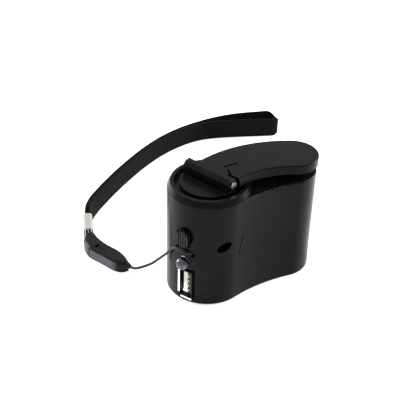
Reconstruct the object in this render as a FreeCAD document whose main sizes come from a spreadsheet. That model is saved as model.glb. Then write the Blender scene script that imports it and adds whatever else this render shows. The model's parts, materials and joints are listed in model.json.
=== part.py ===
import FreeCAD, Part
import math
import os
import re
from types import SimpleNamespace

from FreeCAD import Placement, Rotation, Vector

# Hand crank phone charger: a bean-shaped body that stands on the floor, a folding crank on its big round
# end, a gear train to a generator in its small end, a socket with a light and a button on its nose, and a
# wrist strap on a thin cord. Millimetres. The origin is on the crank's axis at the level of the floor.

doc = FreeCAD.newDocument("hand_crank_charger")
sheet = doc.addObject("Spreadsheet::Sheet", "size")

DRIVING_SIZES = [
    # Body
    ("big_end_radius", 16.4),
    ("small_end_radius", 12.3),
    ("end_spacing", 34.2),
    ("back_radius", 65.6),
    ("front_radius", 69.7),
    ("deck_height", 46.4),
    ("wall", 1.8),
    ("deck_thickness", 1.8),
    ("base_round", 0.8),
    ("deck_round", 0.5),
    ("collar_rise", 2.45),
    ("collar_lean", 1.15),
    ("collar_bore", 13.8),
    # Clearances
    ("fit_gap", 0.05),
    ("running_gap", 0.06),
    ("free_gap", 0.35),
    # Crank disc, hinge and arm
    ("disc_radius", 11.6),
    ("disc_thickness", 2.1),
    ("disc_lift", 0.3),
    ("crank_heading", 24.0),
    ("hinge_height", 4.9),
    ("barrel_radius", 2.6),
    ("barrel_length", 14.0),
    ("lug_width", 4.0),
    ("hinge_side_gap", 0.2),
    ("pin_radius", 1.0),
    ("pin_head_radius", 1.6),
    ("pin_head_length", 0.8),
    ("arm_bend_radius", 40.8),
    ("arm_centre_ahead", 1.84),
    ("arm_centre_aside", 43.07),
    ("arm_width", 20.0),
    ("arm_end_turn", 65.2),
    ("arm_underside", 3.1),
    ("arm_height", 3.8),
    ("arm_skin", 1.4),
    ("arm_round", 0.6),
    ("arm_plate_thickness", 0.9),
    ("knob_radius", 6.5),
    ("knob_height", 4.4),
    ("knob_dish_radius", 11.0),
    ("knob_dish_depth", 0.9),
    ("knob_pin_radius", 1.2),
    ("crease_width", 0.8),
    # Crank shaft and gears
    ("shaft_radius", 2.5),
    ("bush_flange", 1.7),
    ("tooth_module", 0.5),
    ("tooth_height", 0.4),
    ("tooth_depth", 0.5),
    ("tooth_backlash", 0.08),
    ("gear_layer", 3.2),
    ("gear_thickness", 2.4),
    ("axle_radius", 1.0),
    ("gear_hub_radius", 2.0),
    ("first_idler_turn", 12.0),
    ("plate_thickness", 1.0),
    ("lower_plate_thickness", 2.0),
    ("gear_roof_gap", 0.3),
    ("gear_floor_gap", 1.3),
    ("pillar_radius", 1.4),
    # Generator
    ("generator_place", 32.8),
    ("can_radius", 9.0),
    ("can_skin", 0.8),
    ("can_length", 22.0),
    ("end_cap_height", 2.0),
    ("magnet_thickness", 1.7),
    ("rotor_shaft_radius", 1.0),
    ("armature_radius", 5.6),
    ("armature_length", 12.0),
    # Nose: socket, light, cord eye and button
    ("nose_turn", -149.0),
    ("socket_tall", 13.0),
    ("socket_wide", 5.9),
    ("socket_skin", 0.35),
    ("socket_long", 13.6),
    ("socket_lip", 0.5),
    ("socket_flange", 1.0),
    ("socket_aside", 1.1),
    ("socket_height", 9.4),
    ("tongue_thickness", 1.9),
    ("board_thickness", 1.6),
    ("board_length", 13.1),
    ("capacitor_radius", 3.2),
    ("capacitor_length", 8.0),
    ("chip_length", 5.0),
    ("chip_height", 3.0),
    ("chip_thickness", 1.6),
    ("diode_radius", 1.1),
    ("diode_length", 3.6),
    ("coil_radius", 2.4),
    ("coil_wire_radius", 1.0),
    ("light_radius", 2.6),
    ("light_height", 19.7),
    ("light_reach", 1.2),
    ("eye_height", 24.3),
    ("eye_radius", 1.2),
    ("eye_aside", 3.4),
    ("button_height", 31.4),
    ("button_wide", 5.0),
    ("button_tall", 7.4),
    ("button_reach", 1.9),
    ("button_travel", 0.8),
    ("recess_wide", 7.6),
    ("recess_tall", 9.4),
    ("recess_depth", 0.8),
    # Case screws
    ("screw_radius", 1.0),
    ("screw_head_radius", 1.8),
    ("screw_head_height", 1.3),
    ("screw_length", 9.0),
    ("screw_seat", 5.0),
    ("screw_post_radius", 3.2),
    ("low_screw_height", 4.2),
    ("mid_screw_drop", 5.2),
    ("top_screw_drop", 4.6),
    # Cord and strap
    ("cord_diameter", 1.2),
    ("strap_width", 10.0),
    ("strap_thickness", 1.0),
    ("buckle_tall", 5.0),
    ("buckle_wide", 8.3),
    ("buckle_mouth", 9.4),
    ("buckle_turn", -70.0),
    ("strap_fold", 4.2),
    ("keeper_skin", 0.6),
    ("keeper_length", 6.8),
]

# How far an octagon's corners reach for each unit to its flats, and heights that follow from the gears' layers,
# which hang from the deck
WORKED_OUT_SIZES = [
    ("octagon_share", "=1 / cos(22.5deg)"),
    ("ceiling_height", "=deck_height - deck_thickness"),
    ("upper_plate_height", "=ceiling_height - plate_thickness"),
    ("low_gear_height", "=upper_plate_height - gear_roof_gap - gear_thickness - 2 * gear_layer"),
    ("gear_floor_height", "=low_gear_height - gear_floor_gap"),
    ("lower_plate_height", "=gear_floor_height - lower_plate_thickness"),
]

SIZES = DRIVING_SIZES + WORKED_OUT_SIZES
for row, (alias, content) in enumerate(SIZES, start=1):
    sheet.set(f"A{row}", alias)
    sheet.set(f"B{row}", str(content))
    sheet.setAlias(f"B{row}", alias)
doc.recompute()
s = SimpleNamespace(**{alias: float(sheet.get(alias)) for alias, _ in SIZES})

UP = Vector(0, 0, 1)
ALONG_X = Rotation(Vector(0, 1, 0), 90)
ALONG_Y = Rotation(Vector(1, 0, 0), -90)
LEVEL = Rotation()

nodes = {}


# Words in a formula that name a size become references to its cell.
def formula(text):
    return re.sub(r"[a-z_]{3,}", lambda word: "size." + word.group(), text)


def bind(thing, **sizes):
    for name, text in sizes.items():
        thing.setExpression(name, formula(text))
    return thing


def turned(degrees, x=0.0, y=0.0, z=0.0):
    return Placement(Vector(x, y, z), Rotation(UP, degrees))


BODY = Placement()
CRANK = turned(s.crank_heading)
NOSE = turned(s.nose_turn)
SOCKET = NOSE * Placement(Vector(0, s.socket_aside, 0), Rotation())


def spot(frame, x, y, z, rotation=LEVEL):
    return frame * Placement(Vector(x, y, z), rotation)


def cylinder(name, radius, height, place):
    thing = bind(doc.addObject("Part::Cylinder", name), Radius=radius, Height=height)
    thing.Placement = place
    return thing


def cone(name, low_radius, high_radius, height, place):
    thing = doc.addObject("Part::Cone", name)
    bind(thing, Radius1=low_radius, Radius2=high_radius, Height=height)
    thing.Placement = place
    return thing


def box(name, length, width, height, place):
    thing = bind(doc.addObject("Part::Box", name), Length=length, Width=width, Height=height)
    thing.Placement = place
    return thing


def prism(name, reach, height, place):
    """An eight-sided bar; reach is from its axis to a flat."""
    thing = doc.addObject("Part::Prism", name)
    thing.Polygon = 8
    bind(thing, Circumradius=f"octagon_share * {reach}", Height=height)
    thing.Placement = place * Placement(Vector(), Rotation(UP, 22.5))
    return thing


def ball(name, radius, place):
    thing = bind(doc.addObject("Part::Sphere", name), Radius=radius)
    thing.Placement = place
    return thing


def shaped(name, shape, place=BODY):
    thing = doc.addObject("Part::Feature", name)
    thing.Shape = shape
    thing.Placement = place
    return thing


def fuse(name, *things):
    thing = doc.addObject("Part::MultiFuse", name)
    thing.Shapes = list(things)
    thing.Refine = True
    return thing


def common(name, *things):
    thing = doc.addObject("Part::MultiCommon", name)
    thing.Shapes = list(things)
    return thing


def cut(name, base, *tools):
    thing = doc.addObject("Part::Cut", name)
    thing.Base = base
    thing.Tool = tools[0] if len(tools) == 1 else fuse(name + "_tools", *tools)
    return thing


def group(name, *things):
    thing = doc.addObject("Part::Compound", name)
    thing.Links = list(things)
    return thing


def node(label, thing):
    thing.Label = label
    nodes[label] = thing
    return thing


# Plane outlines

def on_circle(centre, radius, degrees):
    turn = math.radians(degrees)
    return centre + Vector(radius * math.cos(turn), radius * math.sin(turn), 0)


def degrees_of(vector):
    return math.degrees(math.atan2(vector.y, vector.x))


def arc(centre, radius, start, end):
    middle = (start + end) / 2
    points = [on_circle(centre, radius, a) for a in (start, middle, end)]
    return Part.Arc(*points).toShape()


def line(start, end):
    return Part.LineSegment(start, end).toShape()


def meeting(first, first_radius, second, second_radius, side):
    """Where two circles meet: the point on the left of the way from first to second, or on the right."""
    way = second - first
    apart = way.Length
    along = (first_radius**2 - second_radius**2 + apart**2) / (2 * apart)
    aside = math.sqrt(max(first_radius**2 - along**2, 0.0))
    ahead = way / apart
    return first + ahead * along + Vector(-ahead.y, ahead.x, 0) * (side * aside)


BIG_CENTRE = Vector(0, 0, 0)
SMALL_CENTRE = Vector(s.end_spacing, 0, 0)
BACK_CENTRE = meeting(
    BIG_CENTRE, s.back_radius - s.big_end_radius, SMALL_CENTRE, s.back_radius - s.small_end_radius, -1
)
FRONT_CENTRE = meeting(
    BIG_CENTRE, s.front_radius + s.big_end_radius, SMALL_CENTRE, s.front_radius + s.small_end_radius, -1
)


def bean_face(inset):
    """The body's plan, drawn in by inset: two round ends, a full back and a hollow front."""
    back_left = degrees_of(BIG_CENTRE - BACK_CENTRE)
    back_right = degrees_of(SMALL_CENTRE - BACK_CENTRE)
    front_left = degrees_of(BIG_CENTRE - FRONT_CENTRE)
    front_right = degrees_of(SMALL_CENTRE - FRONT_CENTRE)
    edges = [
        arc(BIG_CENTRE, s.big_end_radius - inset, back_left, front_left + 180),
        arc(FRONT_CENTRE, s.front_radius + inset, front_left, front_right),
        arc(SMALL_CENTRE, s.small_end_radius - inset, front_right - 180, back_right),
        arc(BACK_CENTRE, s.back_radius - inset, back_right, back_left),
    ]
    return Part.Face(Part.Wire(edges))


def bean(inset, low, high):
    face = bean_face(inset)
    face.translate(Vector(0, 0, low))
    return face.extrude(Vector(0, 0, high - low))


def block(low, high):
    """A box from its low corner to its high one."""
    corner = Vector(*low)
    size = Vector(*high) - corner
    return Part.makeBox(size.x, size.y, size.z, corner)


# Case

ceiling = s.ceiling_height
nose_way = NOSE.Rotation.multVec(Vector(1, 0, 0))
socket_face = s.big_end_radius + 0.6

outer_solid = bean(0, 0, s.deck_height)
floor_edges = [edge for edge in outer_solid.Edges if edge.BoundBox.ZMax < 1e-6]
outer_solid = outer_solid.makeFillet(s.base_round, floor_edges)
deck_edges = [edge for edge in outer_solid.Edges if edge.BoundBox.ZMin > s.deck_height - 1e-6]
outer = shaped("body_block", outer_solid.makeFillet(s.deck_round, deck_edges))
collar_foot = cylinder("collar_foot", "big_end_radius", "2 * deck_round",
                       spot(BODY, 0, 0, s.deck_height - 2 * s.deck_round))
collar = cone("collar_block", "big_end_radius", "big_end_radius - collar_lean", "collar_rise",
              spot(BODY, 0, 0, s.deck_height))
hollow = shaped("body_hollow", bean(s.wall, s.wall, ceiling))
collar_hollow = cylinder("collar_hollow", "collar_bore", "collar_rise + 1", spot(BODY, 0, 0, s.deck_height))
bush_hole = cylinder("bush_hole", "shaft_radius + bush_flange + fit_gap", "deck_thickness + 2",
                     spot(BODY, 0, 0, ceiling - 1))

socket_opening = box(
    "socket_opening",
    "socket_long",
    "socket_wide + socket_flange + socket_lip + 2 * fit_gap",
    "socket_tall + socket_flange + socket_lip + 2 * fit_gap",
    spot(
        SOCKET,
        s.big_end_radius - 2 * s.wall,
        -s.socket_wide / 2 - s.socket_flange - s.fit_gap,
        s.socket_height - s.socket_tall / 2 - s.socket_flange - s.fit_gap,
    ),
)
light_hole = cylinder("light_hole", "light_radius + fit_gap", "3 * wall",
                      spot(NOSE, s.big_end_radius - 2 * s.wall, 0, s.light_height, ALONG_X))
eye_holes = [
    cylinder(f"eye_hole_{side}", "eye_radius", "4 * wall",
             spot(NOSE, s.big_end_radius - 3 * s.wall, aside, s.eye_height, ALONG_X))
    for side, aside in (("near", s.eye_aside), ("far", -s.eye_aside))
]


def oval_bar(wide, tall, low, high):
    """An upright oval with round ends, as a solid along X from low to high, centred on X."""
    radius, straight = wide / 2, (tall - wide) / 2
    top, foot = Vector(0, 0, straight), Vector(0, 0, -straight)
    edges = [
        line(foot + Vector(0, radius, 0), top + Vector(0, radius, 0)),
        Part.Arc(top + Vector(0, radius, 0), top + Vector(0, 0, radius), top - Vector(0, radius, 0)).toShape(),
        line(top - Vector(0, radius, 0), foot - Vector(0, radius, 0)),
        Part.Arc(foot - Vector(0, radius, 0), foot - Vector(0, 0, radius), foot + Vector(0, radius, 0)).toShape(),
    ]
    face = Part.Face(Part.Wire(edges))
    face.translate(Vector(low, 0, 0))
    return face.extrude(Vector(high - low, 0, 0))


recess_floor = s.big_end_radius - s.recess_depth
recess = shaped(
    "button_recess",
    oval_bar(s.recess_wide, s.recess_tall, recess_floor, s.big_end_radius + 2),
    spot(NOSE, 0, 0, s.button_height),
)
button_hole = shaped(
    "button_hole",
    oval_bar(
        s.button_wide + 2 * s.free_gap, s.button_tall + 2 * s.free_gap, s.big_end_radius - 3 * s.wall, recess_floor + 1
    ),
    spot(NOSE, 0, 0, s.button_height),
)
recess_backing = common(
    "recess_backing",
    shaped(
        "recess_backing_block",
        oval_bar(s.recess_wide + s.wall, s.recess_tall + s.wall, s.big_end_radius - 1.6 * s.wall, s.big_end_radius),
        spot(NOSE, 0, 0, s.button_height),
    ),
    shaped("recess_backing_limit", bean(s.wall / 2, s.wall, ceiling)),
)

# The three case screws lie along Y, their heads at the bottom of deep holes in the rear wall.
middle_x = s.end_spacing / 2
SCREWS = [
    ("low", middle_x, s.low_screw_height),
    ("mid", middle_x, s.lower_plate_height - s.mid_screw_drop),
    ("top", s.end_spacing + 0.62 * s.small_end_radius, ceiling - s.top_screw_drop),
]
posts = [
    cylinder(f"{name}_post", "screw_post_radius", "2 * back_radius", spot(BODY, x, -s.back_radius, z, ALONG_Y))
    for name, x, z in SCREWS
]
post_block = common("posts", fuse("post_rods", *posts), shaped("post_limit", bean(s.wall / 2, s.wall / 2, ceiling + 0.5)))

cradle_height = s.lower_plate_height - s.can_length
cradle = cut(
    "generator_cradle",
    cylinder("cradle_ring", "can_radius", "lower_plate_height - can_length - wall / 2",
             spot(BODY, s.generator_place, 0, s.wall / 2)),
    cylinder("cradle_bore", "can_radius - wall", "lower_plate_height", spot(BODY, s.generator_place, 0, 0)),
)
case_block = fuse("case_block", outer, collar_foot, collar)
case_walls = cut("case_walls", case_block, hollow, collar_hollow, bush_hole)
case_solid = fuse("case_solid", case_walls, post_block, cradle, recess_backing)

screw_tip = s.screw_seat - s.screw_length
screw_holes = []
for name, x, z in SCREWS:
    screw_holes.append(
        cylinder(f"{name}_screw_hole", "screw_radius + fit_gap", "screw_length + 0.5",
                 spot(BODY, x, screw_tip - 0.5, z, ALONG_Y))
    )
    screw_holes.append(
        cylinder(f"{name}_head_hole", "screw_head_radius + 0.2", "back_radius",
                 spot(BODY, x, s.screw_seat, z, ALONG_Y))
    )
case = cut("case", case_solid, socket_opening, light_hole, *eye_holes, recess, button_hole, *screw_holes)

# The halves part along a bent upright plane: from the nose to the crank's axis, then to the small end's tip.
outside = 3 * s.back_radius
split_corners = [
    Vector(0, 0, 0),
    Vector(outside, 0, 0),
    Vector(outside, -outside, 0),
    Vector(-outside, -outside, 0),
    Vector(-outside, nose_way.y * outside, 0),
    nose_way * outside,
]
split_face = Part.Face(Part.makePolygon([*split_corners, split_corners[0]]))
split_face.translate(Vector(0, 0, -1))
front_side = shaped("front_side", split_face.extrude(Vector(0, 0, 2 * s.deck_height)))
node("front_shell", common("front_half", case, front_side))
node("rear_shell", cut("rear_half", case, front_side))

screws = []
groove = s.screw_radius / 2
for name, x, z in SCREWS:
    shank = cylinder(f"{name}_shank", "screw_radius", "screw_length", spot(BODY, x, screw_tip, z, ALONG_Y))
    head = cylinder(f"{name}_head", "screw_head_radius", "screw_head_height",
                    spot(BODY, x, s.screw_seat, z, ALONG_Y))
    slot_y = s.screw_seat + s.screw_head_height / 2
    slot = box(f"{name}_slot", "1.3 * screw_head_radius", "screw_head_height", "screw_radius / 2",
               spot(BODY, x - 0.65 * s.screw_head_radius, slot_y, z - groove / 2))
    cross = box(f"{name}_cross", "screw_radius / 2", "screw_head_height", "1.3 * screw_head_radius",
                spot(BODY, x - groove / 2, slot_y, z - 0.65 * s.screw_head_radius))
    screws.append(cut(f"{name}_screw", fuse(f"{name}_blank", shank, head), slot, cross))
node("case_screws", group("case_screw_set", *screws))

# Crank disc, hinge and arm, drawn with X along the arm's root and the hinge along Y

disc_low = s.deck_height + s.disc_lift
disc_top = disc_low + s.disc_thickness
hinge = s.deck_height + s.hinge_height
lug_inner = s.barrel_length / 2 + s.hinge_side_gap
lug_outer = lug_inner + s.lug_width


def hinge_rod(name, radius, length, y):
    return cylinder(name, radius, length, spot(CRANK, 0, y, hinge, ALONG_Y))


disc_plate = cylinder("disc_plate", "disc_radius", "disc_thickness", spot(CRANK, 0, 0, disc_low))
lugs = []
for side, y in (("near", -lug_outer), ("far", lug_inner)):
    lugs.append(prism(f"lug_{side}_round", "barrel_radius", "lug_width", spot(CRANK, 0, y, hinge, ALONG_Y)))
    lugs.append(
        box(f"lug_{side}_foot", "2 * barrel_radius", "lug_width", "hinge_height - disc_lift - disc_thickness / 2",
            spot(CRANK, -s.barrel_radius, y, disc_low + s.disc_thickness / 2))
    )
barrel_relief = hinge_rod("barrel_relief", "1.1 * barrel_radius + free_gap", "barrel_length + 2 * hinge_side_gap", -lug_inner)
disc_pin_hole = hinge_rod("disc_pin_hole", "pin_radius + fit_gap", "4 * barrel_length", -2 * s.barrel_length)
disc_shaft_hole = cylinder("disc_shaft_hole", "shaft_radius + fit_gap", "disc_thickness - 0.7", spot(CRANK, 0, 0, disc_low))
node("crank_disc", cut("disc", fuse("disc_blank", disc_plate, *lugs), barrel_relief, disc_pin_hole, disc_shaft_hole))

pin_rod = hinge_rod("pin_rod", "pin_radius", "barrel_length + 2 * hinge_side_gap + 2 * lug_width + 0.2", -lug_outer)
pin_head = hinge_rod("pin_head", "pin_head_radius", "pin_head_length", -lug_outer - s.pin_head_length)
node("hinge_pin", fuse("pin", pin_rod, pin_head))

arm_low = s.deck_height + s.arm_underside
arm_top = arm_low + s.arm_height
ARM_CENTRE = Vector(s.arm_centre_ahead, -s.arm_centre_aside, 0)
arm_root = s.barrel_radius + 0.5
arm_end_degrees = s.arm_end_turn - s.crank_heading
KNOB_CENTRE = on_circle(ARM_CENTRE, s.arm_bend_radius, arm_end_degrees)


def arm_face(inset, root):
    """The arm's plan from its root line to its round end, drawn in by inset."""
    outside = s.arm_bend_radius + s.arm_width / 2 - inset
    inside = s.arm_bend_radius - s.arm_width / 2 + inset
    outside_root = math.degrees(math.acos((root - ARM_CENTRE.x) / outside))
    inside_root = math.degrees(math.acos((root - ARM_CENTRE.x) / inside))
    edges = [
        arc(ARM_CENTRE, inside, inside_root, arm_end_degrees),
        arc(KNOB_CENTRE, s.arm_width / 2 - inset, arm_end_degrees - 180, arm_end_degrees),
        arc(ARM_CENTRE, outside, arm_end_degrees, outside_root),
        line(on_circle(ARM_CENTRE, outside, outside_root), on_circle(ARM_CENTRE, inside, inside_root)),
    ]
    return Part.Face(Part.Wire(edges))


def arm_slab(name, inset, root, low, high):
    face = arm_face(inset, root)
    face.translate(Vector(0, 0, low))
    return shaped(name, face.extrude(Vector(0, 0, high - low)), CRANK)


def crease(name, start, end):
    """A narrow slot through the arm's top skin from start to end."""
    way = Vector(end[0] - start[0], end[1] - start[1], 0)
    thing = bind(doc.addObject("Part::Box", name), Width="crease_width", Height="2 * arm_skin")
    thing.Length = way.Length
    middle = Vector(0, -s.crease_width / 2, 0)
    heading = Placement(Vector(start[0], start[1], arm_top - 1.5 * s.arm_skin), Rotation(UP, degrees_of(way)))
    thing.Placement = CRANK * heading * Placement(middle, LEVEL)
    return thing


arm_solid = arm_slab("arm_slab", 0, arm_root, arm_low, arm_top).Shape
rim_edges = [
    edge
    for edge in arm_solid.Edges
    if edge.BoundBox.ZMin > arm_top - 1e-6 and edge.Curve.TypeId == "Part::GeomCircle"
]
arm_block = shaped("arm_block", arm_solid.makeFillet(s.arm_round, rim_edges))
arm_neck = box("arm_neck", "barrel_radius + 1.5", "barrel_length", "arm_height", spot(CRANK, 0, -s.barrel_length / 2, arm_low))
arm_barrel = prism("arm_barrel", "barrel_radius", "barrel_length",
                   spot(CRANK, 0, -s.barrel_length / 2, hinge, ALONG_Y))
arm_hollow = arm_slab("arm_hollow", s.arm_skin, arm_root + s.arm_skin, arm_low - 1, arm_top - s.arm_skin)
arm_pin_hole = hinge_rod("arm_pin_hole", "pin_radius + running_gap", "2 * barrel_length", -s.barrel_length)
arm_creases = [
    crease("long_crease", (5.5, -2.35), (11.35, -4.5)),
    crease("cross_crease", (5.2, -4.6), (3.0, -7.9)),
]
knob_boss = cylinder("knob_boss", "knob_pin_radius + wall", "arm_skin + 0.4",
                     spot(CRANK, KNOB_CENTRE.x, KNOB_CENTRE.y, arm_top - s.arm_skin - 0.4))
knob_pin_socket = cylinder("knob_pin_socket", "knob_pin_radius + fit_gap", "arm_skin",
                           spot(CRANK, KNOB_CENTRE.x, KNOB_CENTRE.y, arm_top - s.arm_skin - 0.4))
arm_shell = cut("arm_shell", fuse("arm_blank", arm_block, arm_neck, arm_barrel), arm_hollow)
node("arm_cover", cut("arm", fuse("arm_with_boss", arm_shell, knob_boss), arm_pin_hole, knob_pin_socket, *arm_creases))

plate_low = arm_low + 0.2
plate_slab = arm_slab("plate_slab", s.arm_skin + s.fit_gap, arm_root + s.arm_skin + s.fit_gap, plate_low,
                      plate_low + s.arm_plate_thickness)
knob_window = cylinder("knob_window", "knob_radius + free_gap", "2 * arm_height",
                       spot(CRANK, KNOB_CENTRE.x, KNOB_CENTRE.y, arm_low - s.arm_height / 2))
node("arm_plate", cut("plate", plate_slab, knob_window))

knob_top = arm_top - s.arm_skin - 0.4 - s.running_gap
knob_low = knob_top - s.knob_height
knob_blank = cylinder("knob_blank", "knob_radius", "knob_height", spot(CRANK, KNOB_CENTRE.x, KNOB_CENTRE.y, knob_low))
knob_dish = ball("knob_dish", "knob_dish_radius",
                 spot(CRANK, KNOB_CENTRE.x, KNOB_CENTRE.y, knob_low + s.knob_dish_depth - s.knob_dish_radius))
knob_bore = cylinder("knob_bore", "knob_pin_radius + running_gap", "2 * knob_height",
                     spot(CRANK, KNOB_CENTRE.x, KNOB_CENTRE.y, knob_low - 1))
knob_pin_low = knob_low + s.knob_dish_depth + 0.2
knob_counterbore = cylinder("knob_counterbore", "knob_pin_radius + 1.1", "2 * knob_dish_depth",
                            spot(CRANK, KNOB_CENTRE.x, KNOB_CENTRE.y, knob_pin_low + 0.8 - 2 * s.knob_dish_depth))
node("crank_knob", cut("knob", knob_blank, knob_dish, knob_bore, knob_counterbore))
knob_pin_rod = cylinder("knob_pin_rod", "knob_pin_radius", "arm_skin + knob_height - knob_dish_depth - 0.2",
                        spot(CRANK, KNOB_CENTRE.x, KNOB_CENTRE.y, knob_pin_low))
knob_pin_head = cylinder("knob_pin_head", "knob_pin_radius + 0.9", "0.6",
                         spot(CRANK, KNOB_CENTRE.x, KNOB_CENTRE.y, knob_pin_low))
node("knob_pin", fuse("knob_pin_blank", knob_pin_rod, knob_pin_head))

# Gear train: crank gear, two compound idlers and the rotor's pinion, each a layer lower than the last

CRANK_TEETH = 42
IDLER_PINION_TEETH = 12
FIRST_WHEEL_TEETH = 30
SECOND_WHEEL_TEETH = 28
ROTOR_PINION_TEETH = 10
PRESSURE_ANGLE = math.radians(25)


def pitch_radius(teeth):
    return s.tooth_module * teeth / 2


def flank_turn(teeth, radius):
    """Half of a tooth's angle at a radius, on an involute flank."""
    pitch = pitch_radius(teeth)
    roll = math.acos(min(1.0, pitch * math.cos(PRESSURE_ANGLE) / radius))
    half = math.pi / (2 * teeth) - s.tooth_backlash / (2 * pitch)
    return half + (math.tan(PRESSURE_ANGLE) - PRESSURE_ANGLE) - (math.tan(roll) - roll)


def gear(name, teeth, low, thick, centre, tooth_degrees):
    """A spur gear with one tooth's middle at tooth_degrees."""
    pitch = pitch_radius(teeth)
    base, tip, root = pitch * math.cos(PRESSURE_ANGLE), pitch + s.tooth_height, pitch - s.tooth_depth
    start = max(base, root)
    flank = [start + (tip - start) * step / 3 for step in range(4)]
    side = [(radius, flank_turn(teeth, radius)) for radius in flank]
    if root < base:
        side.insert(0, (root, flank_turn(teeth, base)))
    corners = []
    for tooth in range(teeth):
        middle = math.radians(tooth_degrees) + 2 * math.pi * tooth / teeth
        for radius, turn in side:
            corners.append(Vector(radius * math.cos(middle - turn), radius * math.sin(middle - turn), low))
        for radius, turn in reversed(side):
            corners.append(Vector(radius * math.cos(middle + turn), radius * math.sin(middle + turn), low))
    face = Part.Face(Part.makePolygon([*corners, corners[0]]))
    return shaped(name, face.extrude(Vector(0, 0, thick)), Placement(centre, LEVEL))


first_apart = pitch_radius(CRANK_TEETH) + pitch_radius(IDLER_PINION_TEETH)
second_apart = pitch_radius(FIRST_WHEEL_TEETH) + pitch_radius(IDLER_PINION_TEETH)
third_apart = pitch_radius(SECOND_WHEEL_TEETH) + pitch_radius(ROTOR_PINION_TEETH)
FIRST_CENTRE = on_circle(BIG_CENTRE, first_apart, s.first_idler_turn)
ROTOR_CENTRE = Vector(s.generator_place, 0, 0)
SECOND_CENTRE = meeting(FIRST_CENTRE, second_apart, ROTOR_CENTRE, third_apart, 1)

low_layer = s.low_gear_height
middle_layer = low_layer + s.gear_layer
crank_layer = middle_layer + s.gear_layer
hub_low = s.gear_floor_height + 0.1
half_tooth = 180.0
PLATES_APART = "upper_plate_height - gear_floor_height"


def toward(start, end):
    return degrees_of(end - start)


crank_gear_rim = gear("crank_gear_rim", CRANK_TEETH, crank_layer, s.gear_thickness, BIG_CENTRE,
                      toward(BIG_CENTRE, FIRST_CENTRE))
crank_gear_hub = cylinder("crank_gear_hub", "shaft_radius + 1", "gear_thickness + 2 * gear_layer",
                          spot(BODY, 0, 0, low_layer))
crank_gear_bore = cylinder("crank_gear_bore", "shaft_radius + fit_gap", "deck_height", spot(BODY, 0, 0, 0))
node("crank_gear", cut("crank_gear_solid", fuse("crank_gear_blank", crank_gear_rim, crank_gear_hub), crank_gear_bore))


def idler(label, centre, driver_centre, wheel_teeth, wheel_low, next_centre):
    """A compound idler: its pinion meets the gear before it, and its wheel, one layer lower, the next pinion."""
    pinion_gap = toward(centre, driver_centre) + half_tooth / IDLER_PINION_TEETH
    pinion = gear(f"{label}_pinion", IDLER_PINION_TEETH, wheel_low + s.gear_thickness / 2,
                  s.gear_layer + s.gear_thickness / 2, centre, pinion_gap)
    wheel = gear(f"{label}_wheel", wheel_teeth, wheel_low, s.gear_thickness, centre, toward(centre, next_centre))
    hub = cylinder(f"{label}_hub", "gear_hub_radius", f"{PLATES_APART} - 0.2",
                   Placement(centre + Vector(0, 0, hub_low), LEVEL))
    bore = cylinder(f"{label}_bore", "axle_radius + running_gap", "deck_height", Placement(centre, LEVEL))
    node(label, cut(f"{label}_solid", fuse(f"{label}_blank", pinion, wheel, hub), bore))


idler("first_idler", FIRST_CENTRE, BIG_CENTRE, FIRST_WHEEL_TEETH, middle_layer, SECOND_CENTRE)
idler("second_idler", SECOND_CENTRE, FIRST_CENTRE, SECOND_WHEEL_TEETH, low_layer, ROTOR_CENTRE)

axles = [
    cylinder(f"{name}_axle", "axle_radius", "ceiling_height - lower_plate_height - 0.2",
             Placement(centre + Vector(0, 0, s.lower_plate_height + 0.1), LEVEL))
    for name, centre in (("first", FIRST_CENTRE), ("second", SECOND_CENTRE))
]
node("idler_axles", group("axle_set", *axles))

node("crank_shaft", cylinder("shaft", "shaft_radius",
                             "deck_height + disc_lift + disc_thickness - 0.8 - lower_plate_height",
                             spot(BODY, 0, 0, s.lower_plate_height)))


def bush(label, low, high, outside):
    """A plain ring that the crank shaft turns in."""
    ring = Part.makeCylinder(outside, high - low).cut(Part.makeCylinder(s.shaft_radius + s.running_gap, high - low))
    node(label, shaped(label + "_ring", ring, spot(BODY, 0, 0, low)))


bush("crank_bush", ceiling, s.deck_height, s.shaft_radius + s.bush_flange)
bush("foot_bush", s.lower_plate_height, s.gear_floor_height, s.shaft_radius + s.bush_flange)

PILLARS = [
    on_circle(BIG_CENTRE, 12.9, 97),
    on_circle(BIG_CENTRE, 12.9, -88),
    SMALL_CENTRE + Vector(-2.0, 8.4, 0),
]


plate_edge = -5.0


def gear_plate(label, low, thick, holes):
    """A flat plate across the inside of the case, with holes given as (centre, radius)."""
    edge = bean(s.wall + s.free_gap, low, low + thick)
    trimmed = edge.common(block((plate_edge, -outside, 0), (outside, outside, outside)))
    for centre, radius in holes:
        trimmed = trimmed.cut(Part.makeCylinder(radius, thick + 2, centre + Vector(0, 0, low - 1)))
    node(label, shaped(label + "_blank", trimmed))


axle_fit = s.axle_radius + s.fit_gap
gear_plate(
    "lower_plate",
    s.lower_plate_height,
    s.lower_plate_thickness,
    [
        (BIG_CENTRE, s.shaft_radius + s.bush_flange + s.fit_gap),
        (FIRST_CENTRE, axle_fit),
        (SECOND_CENTRE, axle_fit),
        (ROTOR_CENTRE, s.rotor_shaft_radius + 1.5),
    ],
)
gear_plate(
    "upper_plate",
    s.upper_plate_height,
    s.plate_thickness - 0.02,
    [
        (BIG_CENTRE, s.shaft_radius + s.free_gap),
        (FIRST_CENTRE, axle_fit),
        (SECOND_CENTRE, axle_fit),
    ],
)
pillars = [
    cylinder(f"pillar_{number}", "pillar_radius", PLATES_APART,
             Placement(centre + Vector(0, 0, s.gear_floor_height), LEVEL))
    for number, centre in enumerate(PILLARS)
]
node("plate_pillars", group("pillar_set", *pillars))

# Generator in the small end

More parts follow.
